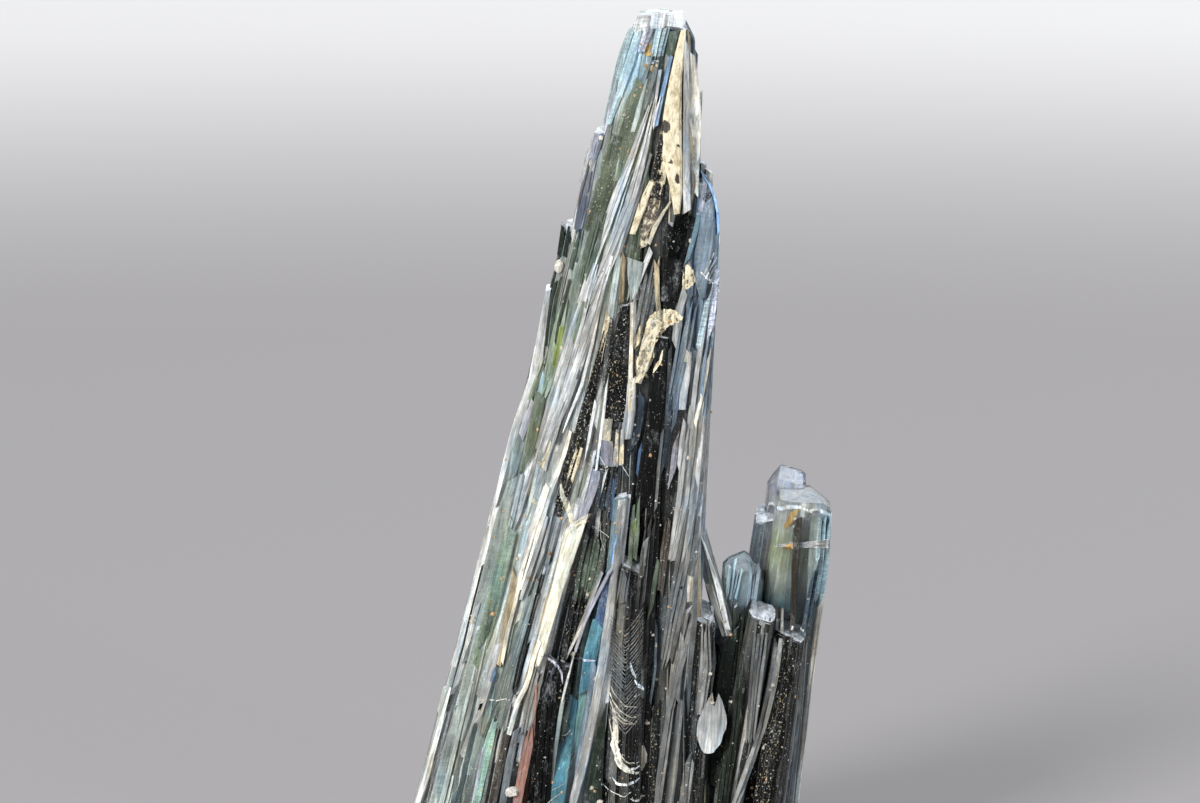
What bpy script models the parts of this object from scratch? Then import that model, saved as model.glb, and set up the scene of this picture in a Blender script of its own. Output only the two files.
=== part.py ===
"""A vivianite crystal group, grown together as one piece and cut off flat at its root.

A tall spear of nearly parallel blades leans a little to +X, and a cluster of shorter, blunt
prisms stands against its right side. Metres, +Z up. The origin is on the flat cut, under
the middle of the group. +X is to the right and +Y to the back, seen from the front.
"""

import random
from collections import namedtuple

import bmesh
import bpy
from mathutils import Vector

# Driving dimensions, in millimetres.
MM = 0.001
ROOT_ALLOWANCE = 2.0  # how far every blade runs on under the cut before it is trimmed
TIP_ALLOWANCE = 2.5  # how far every blade runs on past its tip before its ends are cut
RIDGE_DEPTH = 0.13  # depth of a lengthwise ridge, as a share of the blade's half thickness
RIDGE_SLOPE = 0.05  # width of the slope beside a ridge, as a share of the blade's width
CHAMFER = 0.3  # how far the long edges of a blade are cut back, as a share of its thickness
LATH_THICKNESS = 0.7
LATH_WIDTH = (0.14, 0.3)  # share of the width of the blade that carries it
LATH_LIFT = (0.08, 0.2)  # how far a lath stands proud of that blade
LATH_STOP = (0.03, 0.45)  # how far short of that blade's tip it ends, as a share of its length
GROUP_NAME = "crystal_cluster"

# A blade stands on foot (x, y at the cut) and ends at tip (x, y, z). It measures root
# (width in x, thickness in y) at the cut and top at its tip, and has ridges on each broad
# face. Each of its cuts is (lean in x, lean in y, drop): a plane that slopes by those
# amounts and passes that far under the tip. Start is the height at which foot and root are
# given, above 0 for a blade that sprouts part way up the group.
Blade = namedtuple("Blade", "foot tip root top ridges cuts start", defaults=(0.0,))


def spear_core():
    """The broad crystals that the rest of the spear has grown on."""
    return {
        "summit_left": Blade((-5.3, -0.9), (1.9, -0.3, 44.3), (6.2, 6.6), (2.0, 2.1), 4,
                             [(-0.1, -0.36, 0.0), (-2.2, 0.1, -1.0)]),
        "summit_right": Blade((1.3, -0.5), (3.1, -0.2, 44.0), (6.4, 6.8), (1.6, 1.9), 4,
                              [(0.1, -0.42, 0.0), (2.4, 0.2, -1.0)]),
        "middle_body": Blade((-2.2, -0.6), (1.4, -0.2, 36.0), (7.4, 7.6), (2.6, 2.6), 3,
                             [(-0.3, -0.5, 0.0)]),
        "left_body": Blade((-7.4, -0.3), (-1.3, 0.1, 32.0), (5.6, 5.4), (1.6, 2.0), 3,
                           [(-0.6, -0.2, 0.0)]),
    }


def spear_left_side():
    """Blades that step out along the leaning left edge."""
    return {
        "edge_low": Blade((-10.2, 0.7), (-3.0, 0.8, 28.5), (1.7, 2.9), (0.9, 1.3), 1,
                          [(-1.6, 0.2, 0.0)]),
        "edge_middle": Blade((-9.4, -0.6), (-1.72, 0.0, 34.0), (2.2, 3.2), (0.95, 1.5), 2,
                             [(0.1, -0.3, 0.0)]),
        "edge_high": Blade((-8.3, -1.3), (-0.25, -0.4, 38.6), (2.6, 3.2), (0.95, 1.5), 2,
                           [(0.1, -0.4, 0.0)]),
        "left_green": Blade((-7.9, -2.5), (-2.0, -1.2, 25.5), (1.6, 1.6), (0.9, 1.0), 1,
                            [(-1.1, -0.6, 0.0)]),
        "left_grey": Blade((-9.3, -1.5), (-2.5, -0.7, 28.0), (1.4, 1.8), (0.7, 1.0), 1,
                           [(-0.8, -0.5, 0.0)]),
    }


def spear_front():
    """Blades and broken ledges on the face that looks to -Y."""
    return {
        "silver_band": Blade((-8.2, -2.7), (2.1, -1.15, 41.3), (2.4, 2.6), (0.5, 0.8), 4,
                             [(-0.6, -0.8, 0.0)]),
        "groove_lath": Blade((-7.2, -3.1), (1.6, -1.4, 35.8), (2.4, 2.4), (0.7, 0.8), 3,
                             [(0.9, -0.9, 0.0)]),
        "speckled_lath": Blade((-2.1, -3.1), (0.8, -1.75, 30.6), (2.9, 2.8), (0.6, 1.0), 2,
                               [(-0.2, -0.5, 0.0)]),
        "gold_lath": Blade((-0.4, -3.0), (1.35, -1.8, 31.6), (1.6, 2.4), (0.6, 0.8), 2,
                           [(0.5, -0.7, 0.0)]),
        "cream_ledge": Blade((-6.8, -3.7), (-1.45, -2.75, 20.8), (1.5, 2.0), (1.0, 1.2), 2,
                             [(0.4, -0.5, 0.0), (-1.5, -0.2, -0.2)]),
        "silver_step": Blade((-5.3, -3.6), (-0.75, -2.6, 21.6), (1.3, 1.8), (0.8, 1.0), 1,
                             [(0.5, -0.9, 0.0)]),
        "crest_block": Blade((-6.3, -3.9), (-4.0, -3.35, 11.9), (2.2, 2.4), (1.7, 1.5), 2,
                             [(-0.8, -0.5, 0.0)]),
        "broken_block": Blade((-3.9, -4.1), (-2.5, -3.7, 12.8), (1.5, 2.2), (1.2, 1.6), 2,
                              [(0.55, -0.5, 0.0)]),
        "teal_window": Blade((-2.75, -3.7), (-0.05, -3.2, 17.0), (2.5, 2.4), (0.4, 1.0), 1,
                             [(2.2, -0.4, 0.0)]),
        "pale_strip": Blade((-1.6, -4.25), (0.6, -2.9, 21.0), (0.55, 1.4), (0.45, 0.9), 1,
                            [(-0.2, -0.5, 0.0)]),
        "feather_face": Blade((0.2, -3.9), (1.1, -3.05, 17.8), (2.4, 2.4), (1.3, 1.3), 2,
                              [(0.4, -0.8, 0.0)]),
        "dark_lath": Blade((0.9, -2.6), (2.6, -1.9, 29.0), (2.2, 2.6), (0.7, 1.0), 3,
                           [(0.2, -0.6, 0.0)]),
        "teal_side": Blade((-8.0, -3.1), (-5.65, -2.75, 12.4), (1.7, 1.9), (1.0, 1.2), 2,
                           [(-0.9, -0.5, 0.0)]),
    }


def spear_right_side():
    """Blades along the upright right edge."""
    return {
        "summit_spur": Blade((2.9, -0.2), (3.95, -0.1, 43.7), (2.4, 3.0), (0.5, 1.0), 1,
                             [(2.0, -0.2, 0.0)]),
        "cream_edge": Blade((2.8, 0.7), (4.05, 0.5, 41.2), (2.6, 3.0), (0.75, 1.1), 2,
                            [(0.5, -0.4, 0.0)]),
        "spike": Blade((3.6, -0.5), (4.62, -0.5, 37.2), (1.2, 1.6), (0.3, 0.4), 1,
                       [(0.6, -0.2, 0.0)]),
        "dark_prism": Blade((1.6, -1.7), (3.55, -1.45, 34.5), (3.2, 3.6), (1.35, 1.3), 2,
                            [(0.1, -0.5, 0.0)]),
        "blue_blade": Blade((2.4, -0.9), (4.85, -0.7, 36.4), (2.8, 3.6), (1.3, 1.9), 2,
                            [(0.2, -0.3, 0.0), (2.0, -0.2, 0.3), (8.0, 0.0, -1.8)]),
        "grey_lath": Blade((2.5, -2.3), (4.3, -1.4, 28.3), (2.2, 2.8), (1.1, 1.3), 3,
                           [(0.8, -0.6, 0.0)]),
        "light_lath": Blade((2.2, -3.3), (3.7, -2.5, 15.3), (0.9, 1.8), (0.8, 1.2), 1,
                            [(-0.5, -0.5, 0.0)]),
        "dark_foot": Blade((3.5, -2.4), (4.6, -1.8, 14.8), (1.7, 2.6), (1.2, 1.5), 2,
                           [(0.5, -0.6, 0.0)]),
        "leaf_flake": Blade((4.75, -2.9), (4.95, -2.65, 10.6), (0.5, 0.9), (1.4, 0.7), 1,
                            [(-2.4, -0.2, 0.6), (1.5, -0.2, 0.3)], 6.9),
    }


def spear_back():
    """Blades on the face that looks to +Y."""
    return {
        "back_ridge": Blade((-3.2, 2.2), (1.7, 1.0, 40.6), (4.6, 3.2), (1.2, 1.2), 3,
                            [(-0.4, 0.8, 0.0)]),
        "back_right": Blade((1.8, 2.4), (3.7, 1.1, 34.8), (3.6, 3.0), (1.3, 1.2), 3,
                            [(0.9, 0.6, 0.0)]),
        "back_left": Blade((-7.3, 1.7), (-1.6, 1.1, 30.4), (3.6, 3.2), (1.2, 1.3), 3,
                           [(-0.7, 0.6, 0.0)]),
        "back_middle": Blade((-2.0, 3.4), (1.6, 2.0, 27.6), (3.2, 2.4), (1.2, 1.1), 3,
                             [(0.3, 0.9, 0.0)]),
        "back_step": Blade((-5.7, 3.0), (-2.6, 2.4, 19.2), (2.8, 2.2), (1.4, 1.2), 2,
                           [(-0.8, 0.7, 0.0)]),
        "back_stub": Blade((1.3, 3.7), (2.9, 3.0, 17.0), (2.4, 2.0), (1.4, 1.2), 2,
                           [(0.6, 0.8, 0.0)]),
        "back_low": Blade((-8.7, 2.3), (-6.1, 2.0, 13.4), (2.0, 2.0), (1.2, 1.2), 2,
                          [(-1.0, 0.5, 0.0)]),
        "back_root": Blade((-3.8, 4.1), (-2.2, 3.6, 9.8), (2.4, 1.8), (1.4, 1.1), 2,
                           [(0.2, 0.9, 0.0)]),
    }


def side_cluster():
    """The shorter, blunt prisms against the spear's right side."""
    return {
        "cluster_body": Blade((6.4, -0.3), (8.1, -0.2, 12.8), (3.4, 2.6), (2.8, 2.0), 1,
                              [(0.2, -0.4, 0.0)]),
        "tall_prism": Blade((7.3, 0.7), (9.75, 0.9, 20.2), (3.2, 2.9), (2.8, 2.7), 1,
                            [(0.05, -0.16, 0.0), (0.75, 0.0, -0.45)]),
        "rear_prism": Blade((6.6, 2.3), (9.0, 2.4, 20.95), (2.1, 1.8), (1.9, 1.6), 1,
                            [(0.3, -0.35, 0.0), (-1.2, -0.2, -0.6)]),
        "shaded_prism": Blade((5.5, 1.5), (8.0, 1.7, 19.1), (1.8, 2.2), (1.2, 1.9), 1,
                              [(-0.2, -0.35, 0.0)]),
        "stub_prism": Blade((4.9, 0.0), (6.75, 0.2, 16.85), (2.5, 2.6), (2.1, 2.2), 1,
                            [(-0.4, -0.35, 0.0), (0.7, -0.3, -0.1)]),
        "front_prism": Blade((5.1, -1.9), (7.65, -1.5, 14.7), (1.6, 1.9), (1.3, 1.5), 1,
                             [(0.3, -0.4, 0.0)]),
        "front_dark_prism": Blade((7.1, -1.2), (9.05, -0.9, 13.7), (2.0, 2.2), (1.5, 1.8), 2,
                                  [(0.35, -0.4, 0.0)]),
        "cleft_blade": Blade((4.6, 0.1), (5.7, 0.2, 13.2), (2.4, 3.6), (1.3, 1.8), 2,
                             [(0.5, -0.6, 0.0)]),
        "crossing_blade": Blade((6.0, -0.9), (4.45, -0.75, 18.5), (0.6, 0.9), (0.4, 0.8), 1,
                                [(-0.9, -0.2, 0.0)], 13.4),
        "back_prism": Blade((5.9, 2.6), (7.3, 2.8, 14.6), (2.2, 2.0), (1.7, 1.6), 1,
                            [(-0.3, 0.5, 0.0)]),
        "back_stump": Blade((8.0, 2.5), (9.3, 2.6, 10.6), (1.7, 1.7), (1.6, 1.4), 1,
                            [(0.5, 0.4, 0.0)]),
    }


def station(blade, z):
    """Centre and size of the blade at height z."""
    t = (z - blade.start) / (blade.tip[2] - blade.start)
    centre = Vector((*blade.foot, blade.start)).lerp(Vector(blade.tip), t)
    size = Vector(blade.root).lerp(Vector(blade.top), t)
    return centre, size


def laths(blades, sides, count):
    """Thin laths that have grown along the broad faces of the given blades."""
    found = {}
    for name, host in blades.items():
        rng = random.Random("laths on " + name)
        for side in sides:
            for i in range(count):
                share = rng.uniform(*LATH_WIDTH)
                across = (i + 0.5 + rng.uniform(-0.3, 0.3)) / count - 0.5
                lift = rng.uniform(*LATH_LIFT)
                end = host.tip[2] - rng.uniform(*LATH_STOP) * (host.tip[2] - host.start)
                low, low_size = station(host, host.start)
                high, high_size = station(host, end)
                low_out = side * (low_size.y / 2 + lift - LATH_THICKNESS / 2)
                high_out = side * (high_size.y / 2 + lift - LATH_THICKNESS / 2)
                found[f"{name}_{side}_{i}"] = Blade(
                    (low.x + across * low_size.x, low.y + low_out),
                    (high.x + across * high_size.x, high.y + high_out, end),
                    (share * low_size.x, LATH_THICKNESS),
                    (share * high_size.x, LATH_THICKNESS),
                    1, [(rng.uniform(-0.9, 0.9), side * rng.uniform(0.4, 1.0), 0.0)],
                    host.start)
    return found


def broad_face(ridges, rng):
    """Points of one ridged broad face, from x -0.5 to 0.5, at y about 0.5."""
    stops = [-0.5 + CHAMFER * 0.5]
    for i in range(1, ridges):
        stops.append(-0.5 + (i + rng.uniform(-0.2, 0.2)) / ridges)
    stops.append(0.5 - CHAMFER * 0.5)
    points = []
    for left, right in zip(stops, stops[1:]):
        level = 0.5 * (1 - rng.uniform(0.0, RIDGE_DEPTH))
        points.append((left + RIDGE_SLOPE / 2, level))
        points.append((right - RIDGE_SLOPE / 2, level))
    return points


def outline(blade, rng):
    """The blade's cross-section at unit size, anticlockwise seen from above."""
    side = 0.5 * (1 - CHAMFER)
    back = [(-x, y) for x, y in broad_face(blade.ridges, rng)]
    front = [(x, -y) for x, y in broad_face(blade.ridges, rng)]
    return front + [(0.5, -side), (0.5, side)] + back + [(-0.5, side), (-0.5, -side)]


def blade_mesh(name, blade):
    """One closed blade: its outline drawn out from under the cut to past its tip, then cut."""
    rng = random.Random(name)
    shape = outline(blade, rng)
    bm = bmesh.new()
    bmesh.ops.create_circle(bm, segments=len(shape), radius=1, cap_ends=True)
    bm.verts.ensure_lookup_table()
    low, low_size = station(blade, blade.start or -ROOT_ALLOWANCE)
    high, high_size = station(blade, blade.tip[2] + TIP_ALLOWANCE)
    for vert, (x, y) in zip(bm.verts, shape):
        vert.co = low + Vector((x * low_size.x, y * low_size.y, 0))
    raised = bmesh.ops.extrude_face_region(bm, geom=bm.faces[:])
    top = [v for v in raised["geom"] if isinstance(v, bmesh.types.BMVert)]
    for vert in top:
        x = (vert.co.x - low.x) / low_size.x
        y = (vert.co.y - low.y) / low_size.y
        vert.co = high + Vector((x * high_size.x, y * high_size.y, 0))
    for lean_x, lean_y, drop in blade.cuts:
        cut = bmesh.ops.bisect_plane(
            bm, geom=bm.verts[:] + bm.edges[:] + bm.faces[:], dist=1e-5,
            plane_co=Vector(blade.tip) - Vector((0, 0, drop)),
            plane_no=Vector((lean_x, lean_y, 1)), clear_outer=True)
        rim = [e for e in cut["geom_cut"] if isinstance(e, bmesh.types.BMEdge)]
        bmesh.ops.contextual_create(bm, geom=rim)
    bmesh.ops.scale(bm, vec=(MM, MM, MM), verts=bm.verts)
    bmesh.ops.recalc_face_normals(bm, faces=bm.faces)
    mesh = bpy.data.meshes.new(name)
    bm.to_mesh(mesh)
    bm.free()
    return mesh


def helper_collection(name):
    """A collection for what joins or cuts the group, left out of the render."""
    helpers = bpy.data.collections.new(name)
    helpers.hide_render = True
    bpy.context.scene.collection.children.link(helpers)
    return helpers


def add_helper(name, mesh, helpers):
    obj = bpy.data.objects.new(name, mesh)
    obj.hide_render = True
    obj.display_type = "WIRE"
    helpers.objects.link(obj)
    return obj


def root_cutter(helpers):
    """A block under the cut, wider than the group, that trims every blade level."""
    reach = 40 * MM
    depth = 10 * MM
    bpy.ops.mesh.primitive_cube_add(size=1, location=(0, 0, -depth / 2))
    cutter = bpy.context.object
    cutter.name = "root_cutter"
    cutter.scale = (reach, reach, depth)
    bpy.ops.object.transform_apply(scale=True)
    cutter.hide_render = True
    cutter.display_type = "WIRE"
    for owner in list(cutter.users_collection):
        owner.objects.unlink(cutter)
    helpers.objects.link(cutter)
    return cutter


def crystal_material():
    """Dark blue-green, glassy crystal."""
    material = bpy.data.materials.new("dark_crystal")
    material.use_nodes = True
    surface = material.node_tree.nodes["Principled BSDF"]
    surface.inputs["Base Color"].default_value = (0.06, 0.11, 0.11, 1)
    surface.inputs["Roughness"].default_value = 0.2
    surface.inputs["Metallic"].default_value = 0.0
    surface.inputs["IOR"].default_value = 1.6
    return material


def build():
    for obj in list(bpy.data.objects):
        bpy.data.objects.remove(obj)
    group = bpy.data.collections.new("vivianite")
    bpy.context.scene.collection.children.link(group)
    grown_on = helper_collection("blades")
    cutters = helper_collection("cutters")

    front = spear_front() | spear_left_side() | spear_right_side()
    core = spear_core()
    back = spear_back()
    cluster = side_cluster()
    blades = core | front | back | cluster
    blades |= laths(core, (-1, 1), 3) | laths(front, (-1,), 1) | laths(back, (1,), 2)
    blades |= laths(cluster, (-1, 1), 1)
    seed_name = "middle_body"
    crystal = bpy.data.objects.new(GROUP_NAME, blade_mesh(seed_name, blades.pop(seed_name)))
    group.objects.link(crystal)
    crystal.data.materials.append(crystal_material())
    for name, blade in blades.items():
        add_helper(name, blade_mesh(name, blade), grown_on)

    join = crystal.modifiers.new("grown_together", "BOOLEAN")
    join.operation = "UNION"
    join.operand_type = "COLLECTION"
    join.collection = grown_on
    join.solver = "EXACT"
    trim = crystal.modifiers.new("root_cut", "BOOLEAN")
    trim.operation = "DIFFERENCE"
    trim.object = root_cutter(cutters)
    trim.solver = "EXACT"


build()
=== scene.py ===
import math
import random

import bmesh
import bpy
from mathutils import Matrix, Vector, noise
from mathutils.bvhtree import BVHTree


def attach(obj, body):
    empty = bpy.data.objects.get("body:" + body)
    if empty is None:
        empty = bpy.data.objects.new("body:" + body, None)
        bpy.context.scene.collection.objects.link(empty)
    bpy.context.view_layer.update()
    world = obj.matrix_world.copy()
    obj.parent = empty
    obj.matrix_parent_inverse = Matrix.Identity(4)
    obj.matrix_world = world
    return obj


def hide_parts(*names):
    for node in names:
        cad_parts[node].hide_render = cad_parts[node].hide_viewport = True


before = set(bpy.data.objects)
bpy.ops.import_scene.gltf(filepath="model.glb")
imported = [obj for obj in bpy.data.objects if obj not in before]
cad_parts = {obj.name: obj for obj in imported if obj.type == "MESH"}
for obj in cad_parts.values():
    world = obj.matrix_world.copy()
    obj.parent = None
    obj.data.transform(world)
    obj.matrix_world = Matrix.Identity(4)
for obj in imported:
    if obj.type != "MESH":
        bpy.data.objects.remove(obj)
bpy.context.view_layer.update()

mm = 0.001  # the crystals are worked out in millimetres and scaled once
noise.seed_set(7)  # the same bends every run
finished = []  # the pieces made so far

# each tint runs from a dark lath to a pale one
tints = {
    "black": ((0.001, 0.0015, 0.0015), (0.007, 0.008, 0.008)),
    "dark": ((0.004, 0.005, 0.005), (0.09, 0.095, 0.09)),
    "grey": ((0.05, 0.055, 0.055), (0.62, 0.63, 0.61)),
    # silver is pale grey, partly the laths' own colour and partly painted sheen off the cleavage faces
    "silver": ((0.34, 0.35, 0.35), (0.92, 0.94, 0.93)),
    "iris": ((0.05, 0.055, 0.08), (0.60, 0.62, 0.72)),
    "mist": ((0.045, 0.066, 0.062), (0.60, 0.68, 0.65)),
    "bottle": ((0.004, 0.010, 0.006), (0.22, 0.29, 0.22)),
    "moss": ((0.03, 0.045, 0.025), (0.42, 0.50, 0.37)),
    "lime": ((0.05, 0.11, 0.015), (0.32, 0.40, 0.13)),
    "olive": ((0.10, 0.14, 0.05), (0.62, 0.70, 0.44)),
    "steel": ((0.006, 0.012, 0.022), (0.24, 0.32, 0.40)),
    "azure": ((0.03, 0.06, 0.14), (0.34, 0.54, 0.82)),
    "sky": ((0.11, 0.19, 0.22), (0.64, 0.82, 0.87)),
    "teal": ((0.01, 0.045, 0.055), (0.22, 0.52, 0.62)),
    "mint": ((0.05, 0.15, 0.12), (0.54, 0.82, 0.71)),
    "straw": ((0.16, 0.11, 0.05), (0.72, 0.62, 0.42)),
    "cream": ((0.42, 0.36, 0.25), (0.98, 0.95, 0.84)),
    "ivory": ((0.66, 0.63, 0.48), (0.90, 0.87, 0.70)),
    "umber": ((0.008, 0.006, 0.004), (0.22, 0.18, 0.14)),
    "rust": ((0.05, 0.02, 0.014), (0.52, 0.28, 0.23)),
    "ochre": ((0.25, 0.14, 0.03), (0.70, 0.46, 0.16)),
    "amber": ((0.50, 0.24, 0.08), (0.90, 0.62, 0.34)),
    "pearl": ((0.80, 0.79, 0.72), (0.95, 0.94, 0.90)),
}
# a pale colour mixed into the side edges of laths: a painted highlight, as if the edges caught the light
paintedEdgeHighlight = Vector((0.62, 0.62, 0.57))
toneDrift, driftPitch = 0.55, 0.32  # how far the tone drifts along a lath, and how quickly
shoulder = 0.35  # a blade's face falls away outside this share of its width


def clamp(value):
    return max(0.0, min(1.0, value))


def tintAt(kind, shade):
    dark, pale = (Vector(c) for c in tints[kind])
    return dark.lerp(pale, clamp(shade))


# soft zones of colour: x, z, half width, half height, lean, tint, darkest and palest shade, amount
zones = [
    (1.35, 42.3, 0.75, 2.4, 0.22, "sky", 0.4, 0.9, 0.9),
    (2.5, 41.6, 0.5, 2.0, 0.15, "mist", 0.1, 0.5, 0.8),
    (0.4, 36.6, 1.2, 4.2, 0.25, "moss", 0.4, 1.0, 0.85),
    (-1.6, 29.5, 1.1, 4.5, 0.25, "moss", 0.3, 0.8, 0.7),
    (-1.8, 24.5, 1.7, 7.0, 0.25, "silver", 0.0, 0.5, 0.7),
    (-4.8, 16.5, 1.4, 6.5, 0.25, "mist", 0.5, 1.0, 0.7),
    (-6.6, 9.0, 1.0, 3.5, 0.25, "mist", 0.2, 0.8, 0.6),
    (4.4, 30.5, 0.8, 4.5, 0.03, "steel", 0.5, 1.0, 0.8),
    (4.2, 21.5, 0.8, 6.0, 0.03, "grey", 0.4, 0.9, 0.8),
    (2.6, 20.0, 0.7, 7.0, 0.05, "black", 0.2, 1.0, 0.8),
    (-1.0, 12.2, 0.75, 1.0, 0.2, "mint", 0.8, 1.2, 1.0),
    (-0.6, 14.3, 0.6, 0.9, 0.2, "teal", 1.0, 1.2, 1.0),
    (-0.2, 16.0, 0.4, 1.2, 0.2, "azure", 0.4, 0.7, 1.0),
    (-1.8, 10.3, 0.5, 0.8, 0.2, "moss", 0.6, 0.9, 1.0),
    (-1.9, 7.2, 0.9, 2.6, 0.2, "teal", 1.0, 1.2, 1.0),
]

# clay, and pits in it: x, z, half width, half height, lean, amount
frontClay = [
    (3.05, 39.0, 0.55, 4.6, 0.06, 0.4),
    (2.75, 39.15, 0.24, 0.34, 0.0, -2.6),
    (2.42, 38.35, 0.20, 0.40, 0.0, -2.4),
    (2.28, 37.35, 0.24, 0.36, 0.0, -2.4),
    (2.05, 36.8, 0.20, 0.3, 0.0, -2.0),
    (2.72, 35.95, 0.16, 0.36, 0.0, -2.4),
    (3.0, 37.4, 0.12, 0.16, 0.0, -1.5),
    (3.35, 38.2, 0.08, 0.14, 0.0, -1.5),
    (3.3, 36.6, 0.10, 0.30, 0.0, -1.3),
    (4.1, 39.0, 0.35, 2.4, 0.05, 0.5),
    (3.75, 31.8, 0.35, 0.9, 0.1, 0.8),
    (0.1, 23.6, 0.4, 0.8, 0.1, 0.45),
    (0.55, 23.0, 0.3, 0.9, 0.1, 0.45),
    (-1.5, 22.3, 0.45, 1.5, 0.25, 0.45),
    (4.6, 14.9, 0.6, 0.5, 0.0, 0.6),
]
backClay = [
    (1.2, 33.5, 0.5, 3.6, 0.15, 0.8),
    (2.6, 22.0, 0.7, 2.2, 0.1, 0.7),
    (-2.9, 17.5, 0.6, 2.4, 0.25, 0.8),
    (-0.6, 24.0, 0.35, 2.8, 0.2, 0.7),
    (-6.6, 9.5, 0.6, 2.0, 0.25, 0.6),
    (0.4, 7.0, 0.6, 1.8, 0.1, 0.6),
]


def insideOval(co, x, z, halfWide, halfHigh, lean):
    up = (co.z - z) / halfHigh
    away = (co.x - x - lean * (co.z - z)) / halfWide
    return 1 - up * up - away * away


def clayAt(co):
    patches = frontClay if co.y < 0.5 else backClay
    return sum(amount * max(0.0, insideOval(co, *oval)) for *oval, amount in patches)


def zoneTone(colour, co, random01):
    for *oval, kind, dark, pale, amount in zones:
        inside = insideOval(co, *oval)
        if inside > 0:
            share = amount * min(1.0, inside * 2.0)
            colour = colour.lerp(tintAt(kind, dark + (pale - dark) * random01), share)
    return colour


def bandTone(bands, z):
    for (z0, kind0, shade0), (z1, kind1, shade1) in zip(bands, bands[1:]):
        if z <= z1 or z1 == bands[-1][0]:
            return tintAt(kind0, shade0).lerp(tintAt(kind1, shade1), clamp((z - z0) / (z1 - z0)))


# the four long sides of a blade: across, outward, and which of its two sizes runs each way
sides = {
    "front": (Vector((1, 0, 0)), Vector((0, -1, 0)), 0, 1),
    "back": (Vector((-1, 0, 0)), Vector((0, 1, 0)), 0, 1),
    "left": (Vector((0, -1, 0)), Vector((-1, 0, 0)), 1, 0),
    "right": (Vector((0, 1, 0)), Vector((1, 0, 0)), 1, 0),
}
allBlades = {}  # every blade by name, filled as its group is built


# a blade leans and tapers from foot to tip: root and top are its width and depth at each end, mix is
# its tints and their chances, laths is how many lie side by side, and cuts are the planes across its top
def blade(foot, tip, root, top, mix, laths, cuts, start=0.0, **more):
    return dict(foot=foot, tip=tip, root=root, top=top, mix=mix, laths=laths, cuts=cuts, start=start, **more)


def station(one, z):
    t = (z - one["start"]) / (one["tip"][2] - one["start"])
    centre = Vector((*one["foot"], one["start"])).lerp(Vector(one["tip"]), t)
    return centre, Vector(one["root"]).lerp(Vector(one["top"]), t)


def planeCut(bm, point, normal, clearOuter=False):
    return bmesh.ops.bisect_plane(bm, geom=bm.verts[:] + bm.edges[:] + bm.faces[:], dist=1e-5,
                                  plane_co=point, plane_no=normal, clear_outer=clearOuter)


def endCut(bm, point, lean, upper):
    cut = planeCut(bm, point, Vector((*lean, 1.0)) * (1 if upper else -1), clearOuter=True)
    rim = [e for e in cut["geom_cut"] if isinstance(e, bmesh.types.BMEdge)]
    if rim:
        bmesh.ops.contextual_create(bm, geom=rim)


def uprights(bm):
    return [e for e in bm.edges if abs(e.verts[0].co.z - e.verts[1].co.z) > 0.5]


# a bevelled bar one unit wide, deep and high, with edge loops across it and enough rings to bend
def longBar(bevelWidth, length, step, loops=(-0.41, 0.41)):
    bm = bmesh.new()
    bmesh.ops.create_cube(bm, size=1.0)
    edge = bm.verts.layers.float.new("edge")
    bmesh.ops.bevel(bm, geom=uprights(bm), offset=bevelWidth, offset_type="OFFSET", segments=1,
                    profile=0.5, affect="EDGES", material=-1)
    for x in loops:
        planeCut(bm, (x, 0, 0), (1, 0, 0))
    # marks the side edges, where the painted edge highlight goes
    for v in bm.verts:
        v[edge] = 1.0 if abs(v.co.x) > 0.42 else 0.0
    bmesh.ops.subdivide_edges(bm, edges=uprights(bm), cuts=max(1, int(length / step)))
    return bm


# writes what the material reads: place in the grain, tone, and the amounts of clay, glass, dust with painted
# glints, and steps
def markGrain(bm, centreOf, colour, rng, zoned=True, edges=0.0, clay=0.0, glass=0.0, grit=0.0, steps=0.0,
              bands=None):
    grain = bm.verts.layers.float_vector.new("grain")
    tone = bm.verts.layers.float_color.new("tone")
    finish = bm.verts.layers.float_vector.new("finish")
    ticks = bm.verts.layers.float.new("steps")
    paintedEdgeLayer = bm.verts.layers.float.get("edge")
    seed = rng.uniform(0, 50)
    random01 = rng.random()
    for v in bm.verts:
        centre = centreOf(v.co.z)
        v[grain] = Vector((v.co.x - centre.x + seed, v.co.y - centre.y, v.co.z))
        shown = zoneTone(colour, v.co, random01) if zoned and v.co.y < 1.6 else colour
        if bands:
            shown = bandTone(bands, v.co.z)
        shown = shown * (1.0 + toneDrift * noise.noise(Vector((seed, 0.0, v.co.z * driftPitch))))
        # painted highlight: the marked side edges are turned towards the pale edge colour
        if paintedEdgeLayer:
            shown = shown.lerp(paintedEdgeHighlight, edges * v[paintedEdgeLayer])
        v[tone] = (*shown, 1.0)
        v[finish] = Vector((clay + clayAt(v.co), glass, grit))
        v[ticks] = steps


def append(piece, bm):
    bmesh.ops.recalc_face_normals(bm, faces=bm.faces)
    scratch = bpy.data.meshes.new("scratch")
    bm.to_mesh(scratch)
    bm.free()
    piece.from_mesh(scratch)
    bpy.data.meshes.remove(scratch)


def thicken(bm, vec):
    block = bmesh.ops.extrude_face_region(bm, geom=bm.faces[:])
    moved = [v for v in block["geom"] if isinstance(v, bmesh.types.BMVert)]
    bmesh.ops.translate(bm, vec=vec, verts=moved)


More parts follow.
